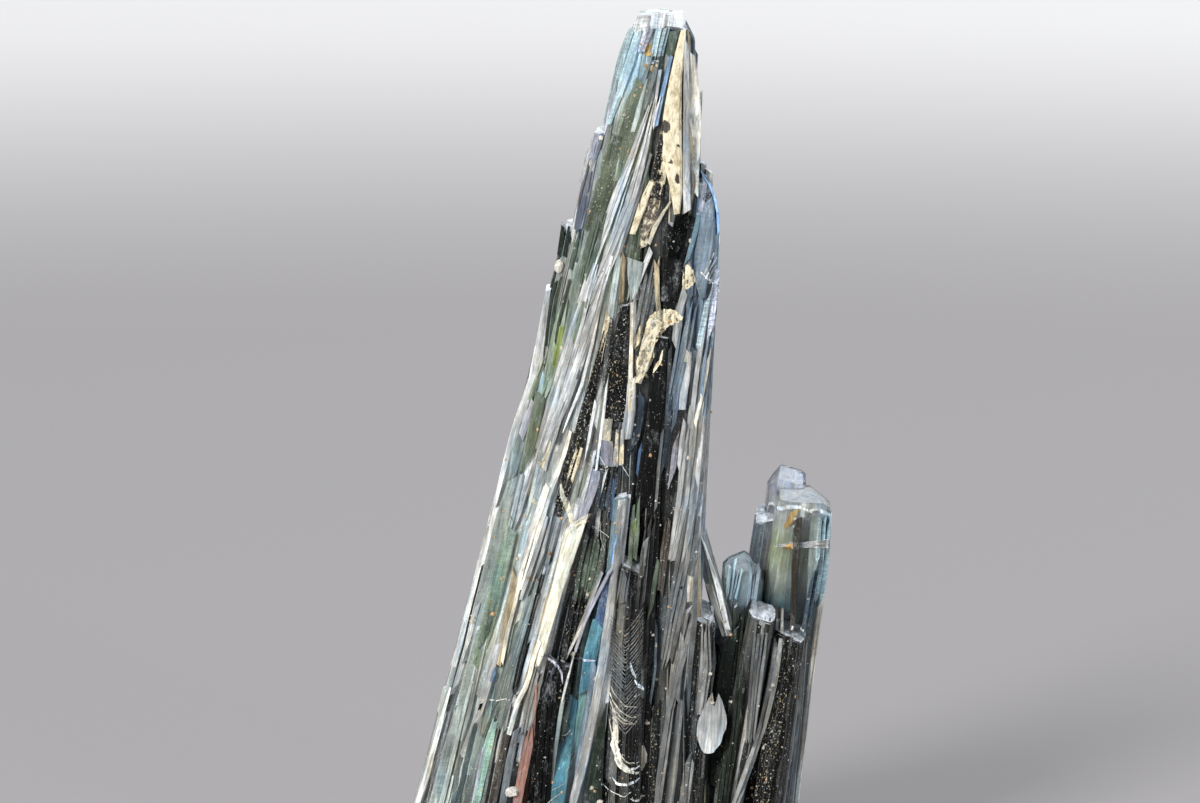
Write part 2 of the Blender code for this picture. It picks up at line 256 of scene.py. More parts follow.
# one solid bar for a whole blade, its top broken off by the blade's cuts
def bladeSolid(one, share, wobble, step, rng):
    low, high = one["start"], one["tip"][2] + 2.0
    bm = longBar(0.15, high - low, step, loops=())
    shift = Vector((rng.uniform(0, 90), 0, 0))
    for v in bm.verts:
        x, y, z = v.co
        centre, size = station(one, low + (z + 0.5) * (high - low))
        v.co = centre + Vector((x * size.x, y * size.y, 0)) * share
        v.co += noise.noise_vector(v.co * 0.9 + shift) * wobble
        v.co.z = centre.z
    drop = 0.06 if "under" in one and share < 1 else one.get("jag", 0.0)
    for *lean, fall in one["cuts"]:
        endCut(bm, Vector(one["tip"]) - Vector((0, 0, fall + drop)), lean, True)
    return bm


def addBody(piece, one, rng):
    share = 1 - 2 * one["under"] / one["root"][0] if "under" in one else 0.98
    bm = bladeSolid(one, share, 0.0, 1.5, rng)
    colour = tintAt(list(one["mix"])[0], 0.5)
    markGrain(bm, lambda z: station(one, z)[0], colour, rng, glass=one.get("glass", 0.0),
              bands=one.get("bands"))
    append(piece, bm)


lathShape = {
    "ringStep": 1.2, "overshoot": 0.8,  # laths are built too long, then cut back
    "chip": 0.03, "jag": 0.12, "gap": 0.98,
    "thick": 0.6, "layerThick": 0.4, "shortestLayer": 0.8,
}


# one lath of a side: middle and share are its place across the side and its part of the side's width
def addLath(piece, one, side, middle, share, low, high, lift, thick, roll, rng, colour, leans=None,
            **finish):
    across, out, wide, deep = sides[side]
    chip, spare = lathShape["chip"], lathShape["overshoot"]
    bottom, topEnd = max(0.0, low - spare), high + spare
    bm = longBar(rng.uniform(0.08, 0.2), topEnd - bottom, lathShape["ringStep"])
    shift = Vector((rng.uniform(0, 90), rng.uniform(0, 90), 0))
    drift = rng.uniform(-0.005, 0.005)
    for v in bm.verts:
        x, y, z = v.co
        along = bottom + (z + 0.5) * (topEnd - bottom)
        centre, size = station(one, along)
        u = middle + x * share
        inset = max(0.0, abs(u) - shoulder) * size[deep]
        reach = size[deep] / 2 + lift - inset - (0.5 - y) * thick + roll * x * share * size[wide]
        wave = noise.noise_vector(Vector((0, 0, centre.z * 0.8)) + shift)
        sway = drift * (along - (bottom + topEnd) / 2) if low > 0 else 0.0
        v.co = centre + across * (u * size[wide] + wave.x * 0.012 + sway) + out * (reach + wave.y * 0.01)
        if y > 0.1:
            v.co -= out * chip * max(0.0, noise.noise(v.co * 3.0 + shift)) * 2
            v.co -= across * (x * chip * max(0.0, noise.noise(v.co * 2.3 - shift)) * 2)
    if leans is None:
        leans = [(rng.choice((-1, 1)) * rng.uniform(1.0, 5.0), rng.uniform(-1.2, 1.2)) for _ in range(2)]
    for end, lean, upper in zip((low, high), leans, (False, True)):
        if end > 0:
            centre, size = station(one, end)
            endCut(bm, centre + across * middle * size[wide], lean, upper)
    jag = one.get("jag", lathShape["jag"])
    for *lean, fall in one["cuts"]:
        if bm.verts:
            endCut(bm, Vector(one["tip"]) - Vector((0, 0, fall + rng.uniform(-jag, jag))), lean, True)
    if not bm.verts:
        bm.free()
        return
    markGrain(bm, lambda z: station(one, z)[0], colour, rng, **finish)
    append(piece, bm)


def dressSide(piece, one, name, side, settings):
    rng = random.Random(name + side)
    wide, deep = sides[side][2:]
    count = one["laths"]
    if side in ("left", "right"):
        count = max(1, round(count * one["root"][wide] / one["root"][0] * 0.7))
    weights = [rng.uniform(0.4, 1.6) for _ in range(count)]
    total = sum(weights)
    u = -0.5
    start, topZ = one["start"], one["tip"][2]
    length = topZ - start
    leanX, leanY = one["cuts"][0][:2]
    step, turn = settings["step"], settings["roll"]

    def pickColour():
        return tintAt(rng.choices(list(one["mix"]), list(one["mix"].values()))[0], rng.random() ** 1.3)

    for weight in weights:
        share = weight / total
        middle = u + share / 2
        u += share
        lift = rng.uniform(-step, step)
        high = topZ - abs(rng.gauss(0, one.get("ragged", 0.02))) * length
        colour = pickColour()
        atCorner = abs(middle) > 0.4
        slope = math.copysign(0.9, middle) * one["root"][deep] / one["root"][wide] if atCorner else 0.0
        roll = -slope + rng.uniform(-turn, turn)
        leans = [(0, 0), (leanX + rng.uniform(-0.3, 0.3), leanY + rng.uniform(-0.2, 0.2))]
        # edges sets how strongly the painted edge highlight shows on each lath
        addLath(piece, one, side, middle, share * lathShape["gap"], start, high, lift, lathShape["thick"],
                roll, rng, colour, leans=leans, edges=rng.choice((0.0, 0.05, 0.1, 0.6)),
                grit=one.get("grit", 0.1) * rng.uniform(0.3, 1.5), steps=0.15,
                glass=max(one.get("glass", 0.0), rng.choice((0.0, 0.0, 0.3, 0.7))))
    # broken layers lying on top
    for _ in range(int(count * settings["layers"] * 1.1)):
        share = rng.uniform(0.3, 1.2) / count
        middle = rng.uniform(-0.42, 0.42)
        low = start + rng.uniform(0.0, 0.85) * length
        high = min(low + rng.uniform(0.06, 0.4) * length, topZ - 0.03 * length)
        if high - low < lathShape["shortestLayer"]:
            continue
        colour = pickColour()
        addLath(piece, one, side, middle, share, low, high, step + rng.uniform(0.01, 0.05),
                lathShape["layerThick"], rng.uniform(-turn, turn), rng, colour,
                edges=rng.choice((0.0, 0.1, 0.2, 0.7)), grit=one.get("grit", 0.1), steps=0.15,
                glass=rng.choice((0.0, 0.3)))


def finishPiece(name, bm, material):
    bmesh.ops.scale(bm, vec=(mm, mm, mm), verts=bm.verts)
    mesh = bpy.data.meshes.new(name)
    bm.to_mesh(mesh)
    bm.free()
    piece = bpy.data.objects.new(name, mesh)
    bpy.context.scene.collection.objects.link(piece)
    mesh.materials.append(material)
    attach(piece, "root")
    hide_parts("crystal_cluster")
    finished.append(piece)
    print(name, sum(len(p.vertices) - 2 for p in mesh.polygons), "triangles")


def bladePiece(name, settings, material):
    bm = bmesh.new()
    allBlades.update(settings["blades"])
    for bladeName, one in settings["blades"].items():
        addBody(bm, one, random.Random(bladeName))
        if "under" not in one:
            for side in settings["dress"]:
                dressSide(bm, one, bladeName, side, settings)
    finishPiece(name, bm, material)


class Nodes:
    def __init__(self, name):
        self.material = bpy.data.materials.new(name)
        self.material.use_nodes = True
        self.tree = self.material.node_tree
        self.surface = self.tree.nodes["Principled BSDF"]

    def feed(self, node, inputs):
        for socket, value in inputs.items():
            slot = node.inputs[socket]
            if isinstance(value, tuple):
                value = (*value, 1.0)[:len(slot.default_value)]  # colours get their fourth number here
            if isinstance(value, (int, float, tuple)):
                slot.default_value = value
            else:
                self.tree.links.new(value, slot)

    def add(self, kind, inputs, output=0, **settings):
        node = self.tree.nodes.new("ShaderNode" + kind)
        for key, setting in settings.items():
            setattr(node, key, setting)
        self.feed(node, inputs)
        return node.outputs[output]

    def attribute(self, which, output="Vector"):
        return self.add("Attribute", {}, output, attribute_name=which)

    def stretched(self, vector, scale):
        return self.add("Mapping", {"Vector": vector, "Scale": scale})

    def noise(self, vector, scale, detail, rough=0.5):
        placed = self.stretched(vector, scale)
        return self.add("TexNoise", {"Vector": placed, "Scale": 1.0, "Detail": detail, "Roughness": rough})

    def apart(self, vector):
        return self.add("SeparateXYZ", {0: vector}).node.outputs

    def facets(self, vector, scale, wander):
        loose = self.add("TexNoise", {"Vector": vector, "Scale": 0.8}, "Color")
        drift = (wander, wander, wander * 4)
        bent = self.add("VectorMath", {0: loose, 1: drift, 2: vector}, operation="MULTIPLY_ADD")
        placed = self.stretched(bent, scale)
        return self.apart(self.add("TexVoronoi", {"Vector": placed, "Scale": 1.0}, "Color"))

    def ranged(self, value, low, high, toLow=0.0, toHigh=1.0):
        inputs = dict(enumerate((value, low, high, toLow, toHigh)))
        return self.add("MapRange", inputs, interpolation_type="SMOOTHSTEP")

    def plus(self, a, b):
        return self.add("Math", {0: a, 1: b}, operation="ADD")

    def less(self, a, b):
        return self.add("Math", {0: a, 1: b}, operation="SUBTRACT")

    def times(self, a, b):
        return self.add("Math", {0: a, 1: b}, operation="MULTIPLY")

    def mixed(self, factor, a, b, blend="MIX"):
        return self.add("Mix", {0: factor, 6: a, 7: b}, 2, data_type="RGBA", blend_type=blend)

    def tinted(self, colour, by):
        return self.mixed(1.0, colour, by, "MULTIPLY")

    def bump(self, height, strength, distance):
        return self.add("Bump", {"Strength": strength, "Distance": distance * mm, "Height": height})


def striatedCrystal(name, look):
    n = Nodes(name)
    grain, tone, steps = n.attribute("grain"), n.attribute("tone", "Color"), n.attribute("steps", "Fac")
    clay, glass, grit = n.apart(n.attribute("finish"))

    # noise stretched along the grain, from hair lines to clouds
    fine = n.noise(grain, (10.0, 10.0, 0.07), 4.0, 0.65)
    hair = n.noise(grain, (22.0, 22.0, 0.12), 3.0, 0.6)
    broken = n.noise(grain, (2.6, 2.6, 1.2), 5.0, 0.7)
    ticks = n.noise(grain, (2.0, 2.0, 9.0), 4.0, 0.7)
    cloudy = n.noise(grain, (1.4, 1.4, 0.5), 5.0, 0.6)
    facetTone, facetGloss = n.facets(grain, (2.6, 2.6, 0.16), 0.15)[:2]
    fibrous = n.less(1.0, n.times(glass, 0.4))

    # facets and streaks, which turn to clouds where a lath is glassy, and steps across it
    streaks = n.times(n.ranged(facetTone, 0.0, 1.0, look["facetDark"], look["facetPale"]),
                      n.ranged(fine, 0.38, 0.62, look["streakDark"], look["streakPale"]))
    streaks = n.times(streaks, n.ranged(broken, 0.35, 0.65, 0.72, 1.22))
    clouds = n.ranged(cloudy, 0.35, 0.65, 0.55, 1.5)
    shade = n.plus(n.times(streaks, fibrous), n.times(n.less(1.0, fibrous), clouds))
    shade = n.times(shade, n.plus(1.0, n.times(steps, n.ranged(ticks, 0.40, 0.62, -0.45, 0.4))))
    colour = n.tinted(tone, n.add("CombineColor", {0: shade, 1: shade, 2: shade}))

    # thin pale and dark lines along the laths
    paleLine = n.times(n.ranged(hair, 0.60, 0.68), n.ranged(broken, 0.42, 0.6, 0.0, look["paleLines"]))
    lineColour = n.mixed(1.0, n.tinted(tone, (1.5, 1.5, 1.5)), (0.02, 0.022, 0.021), "ADD")
    colour = n.mixed(n.times(paleLine, fibrous), colour, lineColour)
    darkLine = n.times(n.ranged(hair, 0.40, 0.32, 0.0, look["darkLines"]), fibrous)
    colour = n.mixed(darkLine, colour, n.tinted(tone, (0.2, 0.2, 0.2)))

    # stains, slanting scratches and a thin frosting run across neighbouring laths
    place = n.add("TexCoord", {}, "Object")
    stain = n.noise(place, (900.0, 900.0, 280.0), 4.0, 0.6)
    colour = n.mixed(n.ranged(stain, 0.50, 0.64), colour, n.tinted(colour, (0.84, 0.95, 1.07)))
    colour = n.mixed(n.ranged(stain, 0.46, 0.34), colour, n.tinted(colour, (1.06, 1.0, 0.90)))
    slanted = n.add("Mapping", {"Vector": place, "Rotation": (0.0, -0.16, 0.0)})
    scratches = n.noise(slanted, (5200.0, 5200.0, 120.0), 5.0, 0.7)
    scratched = n.plus(0.25, n.times(glass, 0.6))
    bright = n.mixed(1.0, n.tinted(colour, (2.2, 2.2, 2.1)), (0.03, 0.031, 0.029), "ADD")
    colour = n.mixed(n.times(n.ranged(scratches, 0.55, 0.68, 0.0, 0.9), scratched), colour, bright)
    colour = n.mixed(n.times(n.ranged(scratches, 0.45, 0.32, 0.0, 0.9), scratched), colour,
                     n.tinted(colour, (0.25, 0.27, 0.27)))
    film = n.noise(place, (1500.0, 1500.0, 600.0), 6.0, 0.72)
    speckle = n.noise(place, (11000.0, 11000.0, 5000.0), 3.0, 0.7)
    frost = n.times(n.ranged(film, 0.49, 0.64), n.ranged(speckle, 0.46, 0.62, 0.1, 1.0))
    frosted = n.times(n.plus(0.3, glass), look["frost"])
    colour = n.mixed(n.times(frost, frosted), colour, (0.50, 0.53, 0.55))

    # up-facing faces are painted paler and bluish: partly the paler broken ends, partly painted light from
    # the sky above
    up = n.apart(n.add("NewGeometry", {}, "Normal"))[2]
    brokenEndAndTopLight = n.ranged(up, 0.55, 0.8, 0.0, look["brokenEndsAndTopLight"])
    brokenEndAndTopLight = n.times(brokenEndAndTopLight, n.ranged(broken, 0.4, 0.6, 0.35, 1.0))
    colour = n.mixed(brokenEndAndTopLight, colour, (0.83, 0.89, 0.98))

    # dust grains, whose pale specks also stand in for painted glints
    dustAndGlints = n.plus(n.noise(grain, (13.0, 13.0, 10.0), 2.0, 0.6), n.times(grit, 0.10))
    dustAndGlintMask = n.ranged(dustAndGlints, 0.69, 0.72)
    dustAndGlintTone = n.ranged(n.noise(grain, (2.0, 2.0, 2.0), 2.0), 0.45, 0.6)
    colour = n.mixed(dustAndGlintMask, colour, n.mixed(dustAndGlintTone, (0.62, 0.62, 0.57), (0.48, 0.38, 0.22)))

    # crumbs of clay
    crumbs = n.plus(n.noise(grain, (3.2, 3.2, 2.0), 7.0, 0.75), n.times(clay, 0.55))
    coat = n.ranged(crumbs, look["coatFrom"], look["coatFrom"] + 0.10)
    crumbShade = n.noise(grain, (4.0, 4.0, 1.6), 6.0, 0.72)
    clayColour = n.mixed(n.ranged(crumbShade, 0.36, 0.56), (0.56, 0.46, 0.28), (0.98, 0.90, 0.68))
    colour = n.mixed(coat, colour, clayColour)

    rough = n.ranged(facetGloss, 0.0, 1.0, look["smooth"], look["matt"])
    rough = n.times(rough, n.ranged(glass, 0.0, 1.0, 1.0, 0.4))
    rough = n.plus(n.plus(rough, n.times(coat, 0.5)), n.times(dustAndGlintMask, 0.3))

    height = n.plus(n.plus(n.times(fine, 0.7), n.times(hair, 0.3)), n.times(broken, 0.4))
    height = n.times(n.plus(height, n.times(facetTone, 0.5)), fibrous)
    height = n.plus(height, n.times(n.times(ticks, steps), 1.2))
    height = n.plus(height, n.times(coat, n.plus(0.3, crumbShade)))
    height = n.plus(height, n.times(dustAndGlintMask, 0.6))
    n.feed(n.surface, {"Base Color": colour, "Roughness": rough, "IOR": 1.45, "Specular IOR Level": 0.28,
                       "Normal": n.bump(height, look["relief"], 0.07)})
    return n.material


def clearCrystal(name, look):
    n = Nodes(name)
    grain = n.attribute("grain")
    fine = n.noise(grain, (7.0, 7.0, 0.2), 4.0, 0.6)
    ticks = n.noise(grain, (1.0, 1.0, 7.0), 3.0, 0.6)
    broken = n.noise(grain, (2.0, 2.0, 1.0), 4.0, 0.7)
    n.feed(n.surface, {
        "Base Color": (0.96, 0.98, 0.97), "Transmission Weight": 1.0, "IOR": 1.58,
        "Roughness": n.ranged(broken, 0.35, 0.65, look["smooth"], look["matt"]),
        "Normal": n.bump(n.plus(fine, n.times(ticks, look["ticks"])), look["relief"], 0.05)})
    body = n.add("VolumeAbsorption", {"Color": look["colour"], "Density": look["density"]})
    n.feed(n.tree.nodes["Material Output"], {"Volume": body})
    return n.material


opaque = striatedCrystal("striatedCrystal", dict(
    facetDark=0.74, facetPale=1.24, streakDark=0.7, streakPale=1.2, paleLines=0.65, darkLines=0.5,
    smooth=0.12, matt=0.42, relief=0.6, coatFrom=0.74, brokenEndsAndTopLight=0.9, frost=0.4))
clearLooks = {
    "green": dict(colour=(0.62, 0.80, 0.60), density=900.0, smooth=0.04, matt=0.14, relief=0.5, ticks=0.4),
    "teal": dict(colour=(0.66, 0.92, 0.97), density=140.0, smooth=0.03, matt=0.10, relief=0.35, ticks=0.3),
    "blue": dict(colour=(0.52, 0.70, 0.90), density=900.0, smooth=0.05, matt=0.16, relief=0.5, ticks=0.3),
    "pale": dict(colour=(0.90, 0.94, 0.98), density=350.0, smooth=0.11, matt=0.2, relief=0.6, ticks=0.8),
    "olive": dict(colour=(0.93, 0.95, 0.88), density=80.0, smooth=0.06, matt=0.12, relief=0.4, ticks=0.8),
}
clear = {name: clearCrystal(name + "ClearCrystal", look) for name, look in clearLooks.items()}
print("crystal materials made")

# the tall middle of the spear, up to the summit
core = {
    "dress": ("front", "back", "left", "right"),
    "step": 0.08, "roll": 0.22, "layers": 0.8,
    "blades": {
        "summitLeft": blade(
            (-5.3, -0.9), (1.9, -0.3, 44.3), (6.2, 6.6), (2.0, 2.1), {"moss": 4, "mist": 2}, 9,
            [(-0.1, -0.36, 0.0), (-2.2, 0.1, -1.3)], ragged=0.0, glass=0.4),
        "summitRight": blade(
            (1.3, -0.5), (3.1, -0.2, 44.0), (6.4, 6.8), (1.6, 1.9), {"dark": 2, "straw": 2, "black": 1}, 9,
            [(0.1, -0.42, -0.25), (2.4, 0.2, -1.5)], ragged=0.0),
        "middleBody": blade(
            (-2.2, -0.6), (1.4, -0.2, 36.0), (7.4, 7.6), (2.6, 2.6), {"dark": 3, "black": 2, "grey": 1}, 12,
            [(-0.3, -0.5, 0.0)]),
        "leftBody": blade(
            (-7.4, -0.3), (-1.3, 0.1, 32.0), (5.6, 5.4), (1.6, 2.0), {"mist": 3, "grey": 2, "silver": 1}, 9,
            [(-0.6, -0.2, 0.0)]),
    },
}
bladePiece("spearCore", core, opaque)

# the green and grey edge that steps down at the left
leftSide = {
    "dress": ("front", "back", "left", "right"),
    "step": 0.06, "roll": 0.25, "layers": 0.8,
    "blades": {
        "edgeLow": blade(
            (-10.2, 0.7), (-3.0, 0.8, 28.5), (1.7, 2.9), (0.9, 1.3), {"mist": 3, "silver": 2, "grey": 1}, 4,
            [(-1.6, 0.2, 0.0)]),
        "edgeMiddle": blade(
            (-9.4, -0.6), (-1.72, 0.0, 34.0), (2.2, 3.2), (0.95, 1.5),
            {"mist": 3, "bottle": 2, "silver": 2, "moss": 1}, 5, [(0.1, -0.3, 0.0)]),
        "edgeHigh": blade(
            (-8.3, -1.3), (-0.25, -0.4, 38.6), (2.6, 3.2), (0.95, 1.5), {"grey": 3, "silver": 2, "moss": 1},
            6, [(0.1, -0.4, 0.0)]),
        "leftGreen": blade(
            (-7.9, -2.5), (-2.0, -1.2, 25.5), (1.6, 1.6), (0.9, 1.0), {"grey": 3, "silver": 2}, 4,
            [(-1.1, -0.6, 0.0)]),
        "leftGrey": blade(
            (-9.3, -1.5), (-2.5, -0.7, 28.0), (1.4, 1.8), (0.7, 1.0), {"grey": 2, "silver": 2, "mist": 2},
            4, [(-0.8, -0.5, 0.0)]),
    },
}
bladePiece("leftSide", leftSide, opaque)

# the thinner blades and broken blocks standing on the front
front = {
    "dress": ("front", "left", "right"),
    "step": 0.06, "roll": 0.25, "layers": 1.0,
    "blades": {
        # painted sheen: the silver of this band partly stands in for light off its cleavage faces
        "silverBand": blade(
            (-8.2, -2.7), (2.1, -1.15, 41.3), (2.4, 2.6), (0.5, 0.8), {"silver": 4, "grey": 2}, 6,
            [(-0.6, -0.8, 0.0)]),
        "grooveLath": blade(
            (-7.2, -3.1), (1.6, -1.4, 35.8), (2.4, 2.4), (0.7, 0.8), {"grey": 3, "silver": 2, "dark": 2}, 6,
            [(0.9, -0.9, 0.0)]),
        "speckledLath": blade(
            (-2.1, -3.1), (0.8, -1.75, 30.6), (2.9, 2.8), (0.6, 1.0), {"black": 4, "dark": 2, "grey": 1}, 6,
            [(-0.2, -0.5, 0.0)], grit=0.5),
        "goldLath": blade(
            (-0.4, -3.0), (1.35, -1.8, 31.6), (1.6, 2.4), (0.6, 0.8), {"grey": 2, "dark": 4}, 4,
            [(0.5, -0.7, 0.0)], grit=0.3),
        "creamLedge": blade(
            (-6.8, -3.7), (-1.45, -2.75, 20.8), (1.5, 2.0), (1.0, 1.2),
            {"straw": 2, "silver": 1, "grey": 2}, 4, [(0.4, -0.5, 0.0), (-1.5, -0.2, -0.2)]),
        "silverStep": blade(
            (-5.3, -3.6), (-0.75, -2.6, 21.6), (1.3, 1.8), (0.8, 1.0), {"dark": 3, "steel": 2, "black": 2},
            4, [(0.5, -0.9, 0.0)], grit=0.4),
        "crestBlock": blade(
            (-6.3, -3.9), (-4.0, -3.35, 11.9), (2.2, 2.4), (1.7, 1.5), {"grey": 3, "rust": 1, "dark": 1}, 5,
            [(-0.8, -0.5, 0.0)], grit=0.5),
        "brokenBlock": blade(
            (-3.9, -4.1), (-2.5, -3.7, 12.8), (1.5, 2.2), (1.2, 1.6), {"black": 5, "dark": 2}, 4,
            [(0.55, -0.2, 0.0)], jag=0.45, glass=0.4),
        "tealWindow": blade(
            (-2.75, -3.7), (-0.05, -3.2, 17.0), (2.5, 2.4), (0.4, 1.0), {"teal": 4, "mint": 1}, 4,
            [(2.2, -0.4, 0.0)], under=0.06, glass=0.9, bands=[(0, "sky", 0.5), (6.5, "sky", 0.6),
            (8.3, "teal", 1.0), (9.8, "mint", 0.8), (10.6, "teal", 0.55), (11.6, "mint", 0.8),
            (12.3, "teal", 0.6), (14.0, "azure", 0.4)]),
        "paleStrip": blade(
            (-1.6, -4.25), (0.6, -2.9, 21.0), (0.55, 1.4), (0.45, 0.9), {"silver": 3, "sky": 1}, 2,
            [(-0.2, -0.5, 0.0)]),
        "featherFace": blade(
            (0.2, -3.9), (1.1, -3.05, 17.8), (2.4, 2.4), (1.3, 1.3), {"dark": 4, "black": 3}, 4,
            [(0.4, -0.8, 0.0)], grit=0.3),
        "darkLath": blade(
            (0.9, -2.6), (2.6, -1.9, 29.0), (2.2, 2.6), (0.7, 1.0), {"black": 6, "dark": 1, "bottle": 1}, 5,
            [(0.2, -0.6, 0.0)], grit=0.2, glass=0.4),
        "tealSide": blade(
            (-8.0, -3.1), (-5.65, -2.75, 12.4), (1.7, 1.9), (1.0, 1.2),
            {"teal": 2, "moss": 1, "mint": 1, "grey": 1}, 4, [(-0.9, -0.5, 0.0)]),
    },
}
bladePiece("frontLaths", front, opaque)

# the dark and blue blades at the right
rightSide = {
    "dress": ("front", "back", "left", "right"),
    "step": 0.06, "roll": 0.22, "layers": 0.8,
    "blades": {
        "summitSpur": blade(
            (2.9, -0.2), (3.95, -0.1, 43.7), (2.4, 3.0), (0.5, 1.0), {"steel": 2, "grey": 2}, 3,
            [(2.0, -0.2, 0.0)]),
        "creamEdge": blade(
            (2.8, 0.7), (4.05, 0.5, 41.2), (2.6, 3.0), (0.75, 1.1), {"cream": 3, "silver": 2}, 4,
            [(0.5, -0.4, 0.0)]),
        "spike": blade(
            (3.6, -0.5), (4.62, -0.5, 37.2), (1.2, 1.6), (0.3, 0.4), {"grey": 2, "dark": 1}, 2,
            [(0.6, -0.2, 0.0)]),
        # painted shade: a facet lying in shadow, given black laths
        "darkPrism": blade(
            (1.6, -1.7), (3.55, -1.45, 34.5), (3.2, 3.6), (1.35, 1.3), {"black": 6, "dark": 1}, 6,
            [(0.1, -0.5, 0.0)], glass=0.4),
        "blueBlade": blade(
            (2.4, -0.9), (4.85, -0.7, 36.4), (2.8, 3.6), (1.3, 1.9), {"steel": 5, "sky": 1}, 5,
            [(0.2, -0.3, 0.0), (2.0, -0.2, 0.3), (8.0, 0.0, -1.8)], glass=0.7),
        "greyLath": blade(
            (2.5, -2.3), (4.3, -1.4, 28.3), (2.2, 2.8), (1.1, 1.3), {"grey": 5, "silver": 1, "dark": 2}, 6,
            [(0.8, -0.6, 0.0)], grit=0.2),
        "lightLath": blade(
            (2.2, -3.3), (3.7, -2.5, 15.3), (0.9, 1.8), (0.8, 1.2), {"grey": 3, "dark": 1}, 3,
            [(-0.5, -0.5, 0.0)]),
        "darkFoot": blade(
            (3.5, -2.4), (4.6, -1.8, 14.8), (1.7, 2.6), (1.2, 1.5), {"dark": 4, "black": 2}, 5,
            [(0.5, -0.6, 0.0)], grit=0.6),
    },
}
bladePiece("rightSide", rightSide, opaque)

# blades of the same habit across the back
backSide = {
    "dress": ("back", "left", "right"),
    "step": 0.08, "roll": 0.25, "layers": 1.2,
    "blades": {
        "backRidge": blade(
            (-3.2, 2.2), (1.7, 1.0, 40.6), (4.6, 3.2), (1.2, 1.2), {"grey": 3, "bottle": 3, "dark": 1}, 9,
            [(-0.4, 0.8, 0.0)]),
        "backRight": blade(
            (1.8, 2.4), (3.7, 1.1, 34.8), (3.6, 3.0), (1.3, 1.2), {"dark": 3, "steel": 2, "grey": 1}, 7,
            [(0.9, 0.6, 0.0)], grit=0.4),
        "backLeft": blade(
            (-7.3, 1.7), (-1.6, 1.1, 30.4), (3.6, 3.2), (1.2, 1.3), {"bottle": 4, "grey": 2, "moss": 1}, 7,
            [(-0.7, 0.6, 0.0)]),
        "backMiddle": blade(
            (-2.0, 3.4), (1.6, 2.0, 27.6), (3.2, 2.4), (1.2, 1.1), {"black": 3, "dark": 3, "grey": 1}, 7,
            [(0.3, 0.9, 0.0)], grit=0.5),
        "backStep": blade(
            (-5.7, 3.0), (-2.6, 2.4, 19.2), (2.8, 2.2), (1.4, 1.2), {"silver": 1, "grey": 3, "straw": 1}, 6,
            [(-0.8, 0.7, 0.0)]),
        "backStub": blade(
            (1.3, 3.7), (2.9, 3.0, 17.0), (2.4, 2.0), (1.4, 1.2), {"dark": 3, "bottle": 2}, 5,
            [(0.6, 0.8, 0.0)]),
        "backLow": blade(
            (-8.7, 2.3), (-6.1, 2.0, 13.4), (2.0, 2.0), (1.2, 1.2), {"grey": 3, "mist": 2, "silver": 1}, 4,
            [(-1.0, 0.5, 0.0)]),
        "backRoot": blade(
            (-3.8, 4.1), (-2.2, 3.6, 9.8), (2.4, 1.8), (1.4, 1.1), {"dark": 3, "grey": 2}, 5,
            [(0.2, 0.9, 0.0)]),
    },
}
bladePiece("backSide", backSide, opaque)

